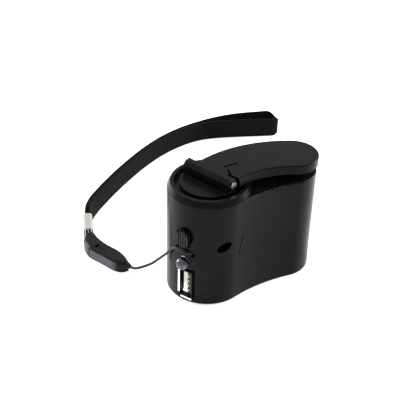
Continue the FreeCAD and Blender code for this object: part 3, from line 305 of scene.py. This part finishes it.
def object_xyz(tree):
    """The three parts of a place in the model's frame."""
    split = put(tree, "ShaderNodeSeparateXYZ")
    wire(tree, put(tree, "ShaderNodeTexCoord").outputs["Object"], split.inputs[0])
    return split.outputs


def distance_along(tree, xyz, matrix, axis):
    """How far a place lies from the model's origin along a level axis of a turned frame."""
    way = matrix.to_3x3() @ axis
    return worked(tree, "MULTIPLY_ADD", xyz[1], way.y, worked(tree, "MULTIPLY", xyz[0], way.x))


def node_of(tree, kind):
    return next(node for node in tree.nodes if node.type == kind)


def moulded_group():
    """Moulded plastic: a fine grain, hand smudges and a few faint rubs."""
    group, given, result = new_group(
        "moulded_surface",
        [
            ("Colour", COLOUR, (0.01, 0.01, 0.01, 1)),
            ("Rubbed Colour", COLOUR, (0.03, 0.03, 0.03, 1)),
            ("Roughness", FLOAT, 0.35),
            ("Smudge", FLOAT, 0.12),
            ("Grain Size", FLOAT, 2600.0),
        ],
        [("Colour", COLOUR), ("Roughness", FLOAT), ("Height", FLOAT)],
    )
    where = put(group, "ShaderNodeTexCoord").outputs["Object"]
    grain = noise_of(group, where, given["Grain Size"], 2.0)
    smudge = noise_of(group, where, 70.0, 4.0, 0.6)
    stretch = put(group, "ShaderNodeMapping", Scale=(60.0, 60.0, 1400.0), Rotation=(0.3, 0.5, 0.2))
    wire(group, where, stretch.inputs["Vector"])
    rubs = in_range(group, noise_of(group, stretch.outputs[0], 3.0, 2.0), 0.66, 0.8)
    patch = in_range(group, noise_of(group, where, 160.0, 2.0), 0.5, 0.7)
    rubs = worked(group, "MULTIPLY", rubs, patch)
    faint = worked(group, "MULTIPLY", rubs, 0.35)
    wire(group, blended(group, faint, given["Colour"], given["Rubbed Colour"]), result["Colour"])
    spread = worked(group, "MULTIPLY", worked(group, "SUBTRACT", smudge, 0.5), given["Smudge"])
    rough = worked(group, "ADD", given["Roughness"], spread)
    rough = worked(group, "ADD", rough, worked(group, "MULTIPLY", rubs, 0.1), clamp=True)
    wire(group, rough, result["Roughness"])
    wire(group, worked(group, "ADD", grain, worked(group, "MULTIPLY", rubs, -0.4)), result["Height"])
    return group


MOULDED = moulded_group()


def raised(tree, shader, height, strength, distance):
    """Feeds a height to the shader through a Bump node."""
    bump = put(tree, "ShaderNodeBump", Strength=strength, Distance=distance)
    wire(tree, height, bump.inputs["Height"])
    wire(tree, bump.outputs[0], shader.inputs["Normal"])


def surfaced(tree, shader, group, bump, depth, **settings):
    """Puts a surface group in a material and feeds its colour, roughness and height to the shader."""
    surface = put(tree, "ShaderNodeGroup", node_tree=group, **settings)
    wire(tree, surface.outputs["Colour"], shader.inputs["Base Color"])
    wire(tree, surface.outputs["Roughness"], shader.inputs["Roughness"])
    raised(tree, shader, surface.outputs["Height"], bump, depth)


def opaque(colour):
    return (*colour, 1)


def moulded(name, colour, rough, specular=0.35, smudge=0.12, grain=2600.0, bump=0.12, rubbed=None):
    material, tree, shader = new_material(name)
    shader.inputs["Specular IOR Level"].default_value = specular
    surfaced(
        tree,
        shader,
        MOULDED,
        bump,
        0.00005,
        Colour=opaque(colour),
        Rubbed_Colour=opaque(rubbed or tuple(2.2 * c + 0.01 for c in colour)),
        Roughness=rough,
        Smudge=smudge,
        Grain_Size=grain,
    )
    return material


def metal_group():
    """Turned or pressed metal: fine lines along one way, stains and a roughness that follows them."""
    group, given, result = new_group(
        "worked_metal",
        [
            ("Colour", COLOUR, (0.6, 0.6, 0.6, 1)),
            ("Stain", COLOUR, (0.35, 0.33, 0.3, 1)),
            ("Roughness", FLOAT, 0.3),
            ("Line Scale", VECTOR, (400.0, 400.0, 9000.0)),
        ],
        [("Colour", COLOUR), ("Roughness", FLOAT), ("Height", FLOAT)],
    )
    where = put(group, "ShaderNodeTexCoord").outputs["Object"]
    stretch = put(group, "ShaderNodeMapping")
    wire(group, where, stretch.inputs["Vector"])
    wire(group, given["Line Scale"], stretch.inputs["Scale"])
    lines = noise_of(group, stretch.outputs[0], 1.0, 3.0)
    stain = in_range(group, noise_of(group, where, 260.0, 4.0, 0.65), 0.55, 0.85)
    wire(group, blended(group, stain, given["Colour"], given["Stain"]), result["Colour"])
    rough = worked(group, "MULTIPLY_ADD", worked(group, "SUBTRACT", lines, 0.5), 0.2, given["Roughness"])
    rough = worked(group, "ADD", rough, worked(group, "MULTIPLY", stain, 0.12), clamp=True)
    wire(group, rough, result["Roughness"])
    wire(group, lines, result["Height"])
    return group


METAL = metal_group()


def worked_metal(name, colour, rough, stain=None, lines=(400.0, 400.0, 9000.0), bump=0.15):
    material, tree, shader = new_material(name, metal=1.0)
    surfaced(
        tree,
        shader,
        METAL,
        bump,
        0.00002,
        Colour=opaque(colour),
        Stain=opaque(stain or tuple(0.6 * c for c in colour)),
        Roughness=rough,
        Line_Scale=lines,
    )
    return material


def cloth_group():
    """Flat woven tape on a UV map in millimetres, U along it and V across: ribs in slanting steps."""
    group, given, result = new_group(
        "woven_tape",
        [
            ("Thread", COLOUR, (0.02, 0.02, 0.022, 1)),
            ("Shade", COLOUR, (0.006, 0.006, 0.006, 1)),
            ("Pitch", FLOAT, 0.55),
            ("Width", FLOAT, 10.0),
        ],
        [("Colour", COLOUR), ("Roughness", FLOAT), ("Height", FLOAT)],
    )
    split = put(group, "ShaderNodeSeparateXYZ")
    wire(group, put(group, "ShaderNodeUVMap", uv_map="weave").outputs[0], split.inputs[0])
    along, across = split.outputs[0], split.outputs[1]
    turn = worked(group, "DIVIDE", 2 * math.pi, given["Pitch"])
    rib_phase = worked(group, "MULTIPLY", across, turn)
    rib = worked(group, "ABSOLUTE", worked(group, "SINE", worked(group, "MULTIPLY", rib_phase, 0.5)))
    rib_number = worked(group, "FLOOR", worked(group, "DIVIDE", across, given["Pitch"]))
    step = worked(group, "MULTIPLY", rib_number, 1.7)
    pick_phase = worked(group, "MULTIPLY_ADD", along, worked(group, "MULTIPLY", turn, 0.8), step)
    pick = worked(group, "MULTIPLY_ADD", worked(group, "SINE", pick_phase), 0.5, 0.5)
    thread = worked(group, "MULTIPLY", rib, worked(group, "MULTIPLY_ADD", pick, 0.6, 0.4))
    off_middle = worked(group, "SUBTRACT", worked(group, "DIVIDE", across, given["Width"]), 0.5)
    selvage = in_range(group, worked(group, "ABSOLUTE", off_middle), 0.42, 0.46)
    coords = put(group, "ShaderNodeTexCoord").outputs["Object"]
    fuzz = noise_of(group, coords, 900.0, 4.0, 0.7)
    fade = noise_of(group, coords, 45.0, 2.0)
    tone = worked(group, "MULTIPLY", thread, worked(group, "MULTIPLY_ADD", fuzz, 0.8, 0.5))
    tone = worked(group, "MULTIPLY", tone, worked(group, "MULTIPLY_ADD", fade, 0.9, 0.55))
    tone = worked(group, "MULTIPLY", tone, worked(group, "MULTIPLY_ADD", selvage, -0.55, 1.0), clamp=True)
    wire(group, blended(group, tone, given["Shade"], given["Thread"]), result["Colour"])
    wire(group, worked(group, "MULTIPLY_ADD", fuzz, 0.2, 0.7), result["Roughness"])
    wire(group, worked(group, "ADD", thread, worked(group, "MULTIPLY", fuzz, 0.35)), result["Height"])
    return group


WOVEN = cloth_group()


def woven(name, thread, shade, pitch, width):
    material, tree, shader = new_material(name)
    shader.inputs["Specular IOR Level"].default_value = 0.06
    shader.inputs["Sheen Weight"].default_value = 0.01
    shader.inputs["Sheen Roughness"].default_value = 0.5
    colours = {"Thread": opaque(thread), "Shade": opaque(shade)}
    surfaced(tree, shader, WOVEN, 0.5, 0.00012, Pitch=pitch, Width=width, **colours)
    return material


# Marks on the case's hollow side: a leaning oval spot, and a crease that slants from its foot to its head
SPOT_X, SPOT_Z = -0.0007, 0.0279
SPOT_HALF_WIDTH, SPOT_HALF_HEIGHT, SPOT_LEAN = 0.0030, 0.0021, -0.35
CREASE_X, CREASE_SLANT = 0.00212, -0.19
CREASE_FOOT, CREASE_HEAD = 0.0205, 0.0312
# The marks sit past this distance on the hollow side, and the seam past this one along the nose
HOLLOW_FROM, NOSE_FROM = 0.010, 0.010
# The painted highlight on the buckle's cord half: its sides are painted a lighter tone, as if lit, from the
# split to near its tip, and up to this height
PAINTED_LIGHT_FROM, PAINTED_LIGHT_TO, PAINTED_LIGHT_TOP = 9.42, 23.5, 0.00455
# The socket, along the nose: its spring with a painted highlight starts here, then its mouth of painted shade
# and the flange's face
SPRING_FROM, MOUTH_FROM, FACE_FROM = 0.0100, 0.0144, 0.01645
# The flange's two strips with a painted highlight: the upright one's sides and foot, the level one's edges
# and left end
UPRIGHT_SIDES, UPRIGHT_FOOT = (-0.00255, -0.0017), 0.0043
LEVEL_EDGES, LEVEL_LEFT = (0.0021, 0.00285), -0.0012


def case_plastic():
    """The case's satin black: the hairline between its halves on the nose, a dark spot and a fine crease."""
    material = moulded("case_plastic", DEEP_BLACK, 0.27, specular=0.08, smudge=0.1)
    tree = material.node_tree
    shader = tree.nodes["Principled BSDF"]
    surface = node_of(tree, "GROUP")
    xyz = object_xyz(tree)
    x, z = xyz[0], xyz[2]
    apart = worked(tree, "ABSOLUTE", distance_along(tree, xyz, NOSE, ASIDE))
    on_line = worked(tree, "SUBTRACT", 1.0, in_range(tree, apart, 0.00006, 0.00016))
    front = in_range(tree, distance_along(tree, xyz, NOSE, AHEAD), NOSE_FROM, NOSE_FROM + 0.002)
    seam = worked(tree, "MULTIPLY", worked(tree, "MULTIPLY", on_line, front), 0.45)

    hollow_side = in_range(tree, xyz[1], -HOLLOW_FROM, -HOLLOW_FROM - 0.002)
    across = worked(tree, "DIVIDE", worked(tree, "SUBTRACT", x, SPOT_X), SPOT_HALF_WIDTH)
    height = worked(tree, "DIVIDE", worked(tree, "SUBTRACT", z, SPOT_Z), SPOT_HALF_HEIGHT)
    lean = worked(tree, "MULTIPLY_ADD", across, SPOT_LEAN, height)
    square = worked(tree, "MULTIPLY_ADD", lean, lean, worked(tree, "MULTIPLY", across, across))
    spot = in_range(tree, worked(tree, "SQRT", square), 1.08, 0.92)
    slanted = worked(tree, "MULTIPLY_ADD", z, CREASE_SLANT, x)
    off_crease = worked(tree, "ABSOLUTE", worked(tree, "SUBTRACT", slanted, CREASE_X))
    crease = in_range(tree, off_crease, 0.00032, 0.00012)
    crease = worked(tree, "MULTIPLY", crease, in_range(tree, z, CREASE_FOOT, CREASE_FOOT + 0.0025))
    crease = worked(tree, "MULTIPLY", crease, in_range(tree, z, CREASE_HEAD, CREASE_HEAD - 0.0004))
    marks = worked(tree, "MULTIPLY", worked(tree, "MAXIMUM", spot, crease), hollow_side)
    marks = worked(tree, "MAXIMUM", seam, marks)

    shade = blended(tree, marks, surface.outputs["Colour"], (0.0005, 0.0005, 0.0005))
    wire(tree, shade, shader.inputs["Base Color"])
    wire(tree, worked(tree, "MULTIPLY_ADD", marks, -0.08, 0.08), shader.inputs["Specular IOR Level"])
    rough = worked(tree, "MULTIPLY_ADD", marks, 0.4, surface.outputs["Roughness"])
    wire(tree, rough, shader.inputs["Roughness"])
    sunk = worked(tree, "MULTIPLY_ADD", marks, -2.5, surface.outputs["Height"])
    wire(tree, sunk, node_of(tree, "BUMP").inputs["Height"])
    return material


def ribbed(material, matrix, pitch, depth, low=None):
    """Adds fine ribs across the X axis of a piece's own frame; low is the height in mm where they begin."""
    tree = material.node_tree
    xyz = object_xyz(tree)
    along = distance_along(tree, xyz, matrix, AHEAD)
    rib = worked(tree, "SINE", worked(tree, "MULTIPLY", along, 2 * math.pi / (pitch * MM)))
    if low is not None:
        rib = worked(tree, "MULTIPLY", rib, in_range(tree, xyz[2], (low - 0.2) * MM, low * MM))
    height = worked(tree, "MULTIPLY_ADD", rib, depth, node_of(tree, "GROUP").outputs["Height"])
    wire(tree, height, node_of(tree, "BUMP").inputs["Height"])
    return material


def buckle_plastic():
    """Black with fine ribs across its top; the cord half's sides carry a painted highlight, a smooth lighter
    tone as if lit.
    """
    material = ribbed(moulded("buckle_plastic", BLACK, 0.34, specular=0.1), BUCKLE, 0.8, 1.2, low=4.1)
    tree = material.node_tree
    xyz = object_xyz(tree)
    way = BUCKLE.to_3x3() @ AHEAD
    painted_light_start = (BUCKLE @ mm(PAINTED_LIGHT_FROM, 0)).dot(way)
    painted_light_end = (BUCKLE @ mm(PAINTED_LIGHT_TO, 0)).dot(way)
    along = distance_along(tree, xyz, BUCKLE, AHEAD)
    # Painted highlight: the cord half's sides are coloured lighter, as if lit, though the plastic is the same
    # black as its top
    painted_light = in_range(tree, xyz[2], PAINTED_LIGHT_TOP, PAINTED_LIGHT_TOP - 0.00065)
    painted_light = worked(tree, "MULTIPLY", painted_light, in_range(tree, along, painted_light_start - 0.00002, painted_light_start + 0.00002))
    painted_light = worked(tree, "MULTIPLY", painted_light, in_range(tree, along, painted_light_end + 0.0015, painted_light_end - 0.0015))
    shade = blended(tree, painted_light, node_of(tree, "GROUP").outputs["Colour"], (0.09, 0.095, 0.107))
    wire(tree, shade, tree.nodes["Principled BSDF"].inputs["Base Color"])
    return material


def socket_metal():
    """Bright plate whose mouth is painted shade, near black; its pressed spring and two strips of the flange
    glow with a painted highlight.
    """
    material = worked_metal("socket_steel", (0.93, 0.93, 0.94), 0.3, stain=(0.8, 0.8, 0.81), bump=0.05)
    tree = material.node_tree
    shader = tree.nodes["Principled BSDF"]
    xyz = object_xyz(tree)
    height = xyz[2]
    depth = distance_along(tree, xyz, NOSE, AHEAD)
    sideways = distance_along(tree, xyz, NOSE, ASIDE)
    mouth = in_range(tree, depth, MOUTH_FROM, MOUTH_FROM + 0.0003)
    face = in_range(tree, depth, FACE_FROM, FACE_FROM + 0.0001)
    upright = within(tree, sideways, *UPRIGHT_SIDES, 0.0001)
    upright = worked(tree, "MULTIPLY", upright, in_range(tree, height, UPRIGHT_FOOT, UPRIGHT_FOOT + 0.0002))
    level = within(tree, height, *LEVEL_EDGES, 0.0001)
    level = worked(tree, "MULTIPLY", level, in_range(tree, sideways, LEVEL_LEFT, LEVEL_LEFT + 0.0001))
    strips = worked(tree, "MULTIPLY", face, worked(tree, "MAXIMUM", upright, level))
    inside = worked(tree, "SUBTRACT", 1.0, mouth)
    spring = worked(tree, "MULTIPLY", in_range(tree, depth, SPRING_FROM, SPRING_FROM + 0.0004), inside)
    # Painted shade: the mouth, except the two strips, is coloured near black, though it is the same bright
    # plate
    painted_shade_mouth = worked(tree, "SUBTRACT", mouth, strips)
    plate = node_of(tree, "GROUP").outputs["Colour"]
    wire(tree, blended(tree, painted_shade_mouth, plate, (0.02, 0.02, 0.02)), shader.inputs["Base Color"])
    # Painted highlight: the spring and the two strips glow by emission, though they are no lamp
    glint = worked(tree, "MAXIMUM", spring, worked(tree, "MULTIPLY", strips, 0.9))
    wire(tree, blended(tree, glint, (0.0, 0.0, 0.0), (0.9, 0.9, 0.9)), shader.inputs["Emission Color"])
    shader.inputs["Emission Strength"].default_value = 0.8
    return material


def clear_lens():
    material, tree, shader = new_material("lens_clear", rough=0.04, colour=(0.86, 0.84, 0.96))
    shader.inputs["Transmission Weight"].default_value = 1.0
    shader.inputs["IOR"].default_value = 1.49
    where = put(tree, "ShaderNodeTexCoord").outputs["Object"]
    tint = blended(tree, noise_of(tree, where, 500.0, 2.0), (0.80, 0.78, 0.98), (0.97, 0.96, 1.0))
    wire(tree, tint, shader.inputs["Base Color"])
    raised(tree, shader, noise_of(tree, where, 700.0, 1.0), 0.25, 0.00008)
    return material


def board_laminate():
    """Green board with a faint glass weave."""
    material, tree, shader = new_material("board_laminate", rough=0.35)
    where = put(tree, "ShaderNodeTexCoord").outputs["Object"]
    greens = {
        "Color1": (0.02, 0.16, 0.05, 1),
        "Color2": (0.025, 0.19, 0.06, 1),
        "Mortar": (0.05, 0.30, 0.12, 1),
    }
    brick = put(tree, "ShaderNodeTexBrick", Scale=420.0, Mortar_Size=0.06, **greens)
    wire(tree, where, brick.inputs["Vector"])
    wire(tree, brick.outputs["Color"], shader.inputs["Base Color"])
    raised(tree, shader, brick.outputs["Fac"], 0.2, 0.00003)
    return material


BLACK = (0.004, 0.004, 0.0045)
DEEP_BLACK = (0.003, 0.003, 0.0034)
KEEPER_WHITE, KEEPER_RUBBED = (0.36, 0.365, 0.335), (0.46, 0.46, 0.44)
finishes = {
    "case_plastic": case_plastic(),
    "crank_plastic": moulded("crank_plastic", DEEP_BLACK, 0.27, specular=0.08),
    "knob_plastic": moulded("knob_plastic", BLACK, 0.35, specular=0.15),
    "button_plastic": moulded("button_plastic", (0.003, 0.003, 0.0035), 0.28, specular=0.25),
    "buckle_plastic": buckle_plastic(),
    "keeper_plastic": ribbed(
        moulded("keeper_plastic", KEEPER_WHITE, 0.5, specular=0.3, rubbed=KEEPER_RUBBED), CRANK, 1.1, 0.9
    ),
    "gear_plastic": moulded("gear_plastic", (0.78, 0.76, 0.69), 0.42, grain=1800.0),
    "cap_plastic": moulded("cap_plastic", (0.70, 0.68, 0.62), 0.5),
    "chip_plastic": moulded("chip_plastic", (0.02, 0.02, 0.02), 0.55),
    "lead_plastic": moulded("lead_plastic", (0.40, 0.02, 0.015), 0.4),
    "socket_plastic": moulded("socket_plastic", (0.012, 0.012, 0.012), 0.45),
    "capacitor_sleeve": moulded("capacitor_sleeve", (0.02, 0.035, 0.13), 0.28),
    "arm_plate_steel": moulded("arm_plate_steel", (0.012, 0.012, 0.013), 0.45),
    "board_laminate": board_laminate(),
    "lens_clear": clear_lens(),
    "plain_steel": worked_metal("plain_steel", (0.56, 0.56, 0.57), 0.28),
    "pin_steel": worked_metal("pin_steel", (0.20, 0.20, 0.21), 0.22),
    "screw_steel": worked_metal("screw_steel", (0.24, 0.24, 0.25), 0.35),
    "frame_steel": worked_metal("frame_steel", (0.52, 0.53, 0.54), 0.36, lines=(9000.0, 300.0, 300.0)),
    "can_steel": worked_metal("can_steel", (0.60, 0.60, 0.60), 0.3, lines=(300.0, 300.0, 7000.0)),
    "socket_steel": socket_metal(),
    "magnet_iron": worked_metal("magnet_iron", (0.06, 0.06, 0.065), 0.55),
    "brass_part": worked_metal("brass_part", (0.66, 0.48, 0.20), 0.28),
    "contact_brass": worked_metal("contact_brass", (0.42, 0.31, 0.12), 0.3),
    "winding_copper": worked_metal(
        "winding_copper", (0.60, 0.27, 0.12), 0.32, lines=(300.0, 300.0, 5200.0), bump=0.6
    ),
}
for entry in frame["record"]["subparts"]:
    material = finishes.get(entry["material_slot"])
    if material:
        mesh = frame["nodes"][entry["node"]].data
        mesh.materials.clear()
        mesh.materials.append(material)

# Wrist strap: two layers of flat webbing that stand on edge and meet at the far fold

strap_fabric = woven("strap_fabric", (0.007, 0.007, 0.0075), (0.002, 0.002, 0.0022), 0.62, STRAP_WIDTH)


def charted(tape, path):
    """The weave's UV map, in millimetres along the route and up across it."""
    lengths = [0.0]
    for a, b in zip(path, path[1:]):
        lengths.append(lengths[-1] + (b - a).length)
    flat = [Vector((p.x, p.y)) for p in path]
    chart = tape.data.uv_layers.new(name="weave")
    for loop in tape.data.loops:
        spot = tape.data.vertices[loop.vertex_index].co
        nearest = min(range(len(flat)), key=lambda n: (flat[n] - spot.xy).length_squared)
        chart.data[loop.index].uv = (lengths[nearest] / MM, spot.z / MM)


def share_between(value, low, high):
    """0 up to low, 1 from high on, even between."""
    return min(max((value - low) / (high - low), 0.0), 1.0)


def folded(tape):
    """Brings the tape low at the keeper and rounds the corners of its far fold."""
    keeper_way = (STRAP_MIDDLE[3] - STRAP_MIDDLE[1]).normalized()
    for vertex in tape.data.vertices:
        along = (vertex.co / MM - STRAP_MIDDLE[1]).dot(keeper_way)
        top = STRAP_FOLD + share_between(along, FOLD_START, FOLD_END) * (STRAP_WIDTH - STRAP_FOLD)
        vertex.co.z = min(vertex.co.z, top * MM)
        turn = share_between(vertex.co.x / MM, ROUND_START, ROUND_END)
        drawn_in = ROUND_DEPTH * (1 - math.sqrt(1 - turn * turn)) * MM
        vertex.co.z += drawn_in if vertex.co.z < STRAP_WIDTH / 2 * MM else -drawn_in


def webbing(name, route, node_name):
    """One layer of the strap: its line drawn up into a tape, folded, and given its thickness."""
    line = smooth_curve(name + "_line", route, STRAP_WIDTH / 2)
    path = followed(line)
    only(line)
    bpy.ops.object.convert(target="MESH")
    tape = named(name)
    bpy.ops.object.mode_set(mode="EDIT")
    bpy.ops.mesh.select_all(action="SELECT")
    bpy.ops.transform.translate(value=(0, 0, -STRAP_WIDTH / 2 * MM))
    bpy.ops.mesh.extrude_edges_move(TRANSFORM_OT_translate={"value": (0, 0, STRAP_WIDTH * MM)})
    bpy.ops.object.mode_set(mode="OBJECT")
    charted(tape, path)
    folded(tape)
    modified(tape, "SOLIDIFY", thickness=STRAP_THICKNESS * MM, offset=0.0, use_even_offset=True)
    modified(tape, "BEVEL", width=0.3 * MM, segments=3, limit_method="ANGLE", angle_limit=math.radians(50))
    bpy.ops.object.shade_smooth_by_angle(angle=math.radians(40))
    tape.data.materials.clear()
    tape.data.materials.append(strap_fabric)
    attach(tape, "case")
    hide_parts(node_name)


def lifted(flat_points):
    return [Vector((x, y, 0)) for x, y in flat_points]


near_route = beside(STRAP_MIDDLE, -LAYER_OFFSET) + lifted(NEAR_END)
far_route = beside(STRAP_MIDDLE, LAYER_OFFSET) + lifted(FAR_END)
webbing("strap_near_layer", near_route, "wrist_strap_near")
webbing("strap_far_layer", far_route, "wrist_strap_far")

# Cord


def cord_fabric():
    material, tree, shader = new_material("cord_fabric", rough=0.6)
    shader.inputs["Specular IOR Level"].default_value = 0.3
    where = put(tree, "ShaderNodeTexCoord").outputs["Object"]
    twist = put(tree, "ShaderNodeTexWave", Scale=620.0, Distortion=3.0, Detail=2.0, Detail_Scale=2.0)
    wire(tree, where, twist.inputs["Vector"])
    fuzz = noise_of(tree, where, 2400.0, 3.0)
    tone = worked(tree, "MULTIPLY", twist.outputs["Fac"], fuzz)
    wire(tree, blended(tree, tone, (0.004, 0.004, 0.004), (0.035, 0.035, 0.037)), shader.inputs["Base Color"])
    raised(tree, shader, twist.outputs["Fac"], 0.5, 0.0001)
    return material


cord = smooth_curve("lanyard", CORD_ROUTE)
cord.data.bevel_depth = CORD_DIAMETER / 2 * MM
cord.data.bevel_resolution = 4
cord.data.use_fill_caps = True
cord.data.materials.append(cord_fabric())
cord_line = smooth_curve("lanyard_line", CORD_ROUTE)
cord_length = path_length(followed(cord_line))
bpy.data.objects.remove(cord_line)
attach(cord, "case")
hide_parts("lanyard_cord")

# The knot behind the eye: a short bight of the same cord, tied on itself
KNOT_MIDDLE = placed(NOSE, 11.05, 3.4, 24.3)
KNOT_STEPS, KNOT_SIZE, KNOT_CORD_RADIUS = 12, 0.42, 0.45
knot_route = []
for step in range(KNOT_STEPS + 1):
    turn = 2 * math.pi * step / KNOT_STEPS
    x = math.sin(turn) + 2 * math.sin(2 * turn)
    y = math.cos(turn) - 2 * math.cos(2 * turn)
    knot_route.append(KNOT_MIDDLE + KNOT_SIZE * Vector((x, y, -math.sin(3 * turn))))
knot = smooth_curve("lanyard_knot", knot_route)
knot.data.bevel_depth = KNOT_CORD_RADIUS * MM
knot.data.bevel_resolution = 3
knot.data.materials.append(cord.data.materials[0])
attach(knot, "case")
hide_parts("cord_knot")

# The lamp inside the clear lens

LAMP_RADIUS, LAMP_THICKNESS, LAMP_EDGE = 2.2, 0.8, 0.15
LAMP_PLACE = mm(13.2, 0, 19.7)

bpy.ops.mesh.primitive_cylinder_add(vertices=40, radius=LAMP_RADIUS * MM, depth=LAMP_THICKNESS * MM)
lamp_chip = named("lamp_chip")
modified(lamp_chip, "BEVEL", width=LAMP_EDGE * MM, segments=2, limit_method="ANGLE")
bpy.ops.object.shade_smooth_by_angle(angle=math.radians(40))
facing_out = Matrix.Rotation(math.radians(90), 4, "Y")
lamp_chip.matrix_world = NOSE @ Matrix.Translation(LAMP_PLACE) @ facing_out
settled(lamp_chip)
lamp_chip.data.materials.append(
    moulded("lamp_chip", (0.10, 0.08, 0.20), 0.25, specular=0.5, rubbed=(0.45, 0.42, 0.65))
)
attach(lamp_chip, "case")

# Lights, floor and background

LIT_PLACE = mm(10, 15, 20)


def light_panel(name, direction, distance, size, watts):
    lamp = bpy.data.lights.new(name, "AREA")
    lamp.shape = "RECTANGLE"
    lamp.size, lamp.size_y = size
    lamp.energy = watts
    thing = bpy.data.objects.new(name, lamp)
    scene.collection.objects.link(thing)
    way = Vector(direction).normalized()
    thing.location = LIT_PLACE + way * distance
    thing.rotation_euler = way.to_track_quat("Z", "Y").to_euler()


def looked_at(tree):
    """1 where the camera looks, straight, through a clear piece or by a reflection; 0 for lighting."""
    path = put(tree, "ShaderNodeLightPath").outputs
    seen = worked(tree, "MAXIMUM", path["Is Camera Ray"], path["Is Transmission Ray"])
    return worked(tree, "MAXIMUM", seen, path["Is Glossy Ray"])


light_panel("left_panel", (-0.56, 0.78, 0.28), 0.75, (0.3, 0.4), 7.0)
light_panel("right_panel", (0.92, -0.10, 0.38), 0.80, (0.3, 0.4), 8.0)
light_panel("ridge_panel", (-0.22, 0.48, 0.85), 0.80, (0.25, 0.3), 5.0)
light_panel("top_panel", (-0.3, -0.4, 1.0), 0.9, (0.4, 0.4), 1.2)

world = bpy.data.worlds.new("studio")
scene.world = world
world.use_nodes = True
background = world.node_tree.nodes["Background"]
strength = worked(world.node_tree, "MULTIPLY_ADD", looked_at(world.node_tree), 0.5, 0.5)
wire(world.node_tree, strength, background.inputs["Strength"])
background.inputs["Color"].default_value = (1, 1, 1, 1)

bpy.ops.mesh.primitive_plane_add(size=6.0, location=(0, 0, -0.0002))
floor = named("floor")
paper, paper_tree, paper_shader = new_material("floor_paper", rough=0.9, colour=(0.82, 0.82, 0.82))
paper_shader.inputs["Specular IOR Level"].default_value = 0.0
glow = put(paper_tree, "ShaderNodeEmission")
wire(paper_tree, worked(paper_tree, "MULTIPLY", looked_at(paper_tree), 0.6), glow.inputs["Strength"])
both = put(paper_tree, "ShaderNodeAddShader")
wire(paper_tree, paper_shader.outputs[0], both.inputs[0])
wire(paper_tree, glow.outputs[0], both.inputs[1])
wire(paper_tree, both.outputs[0], paper_tree.nodes["Material Output"].inputs["Surface"])
floor.data.materials.append(paper)
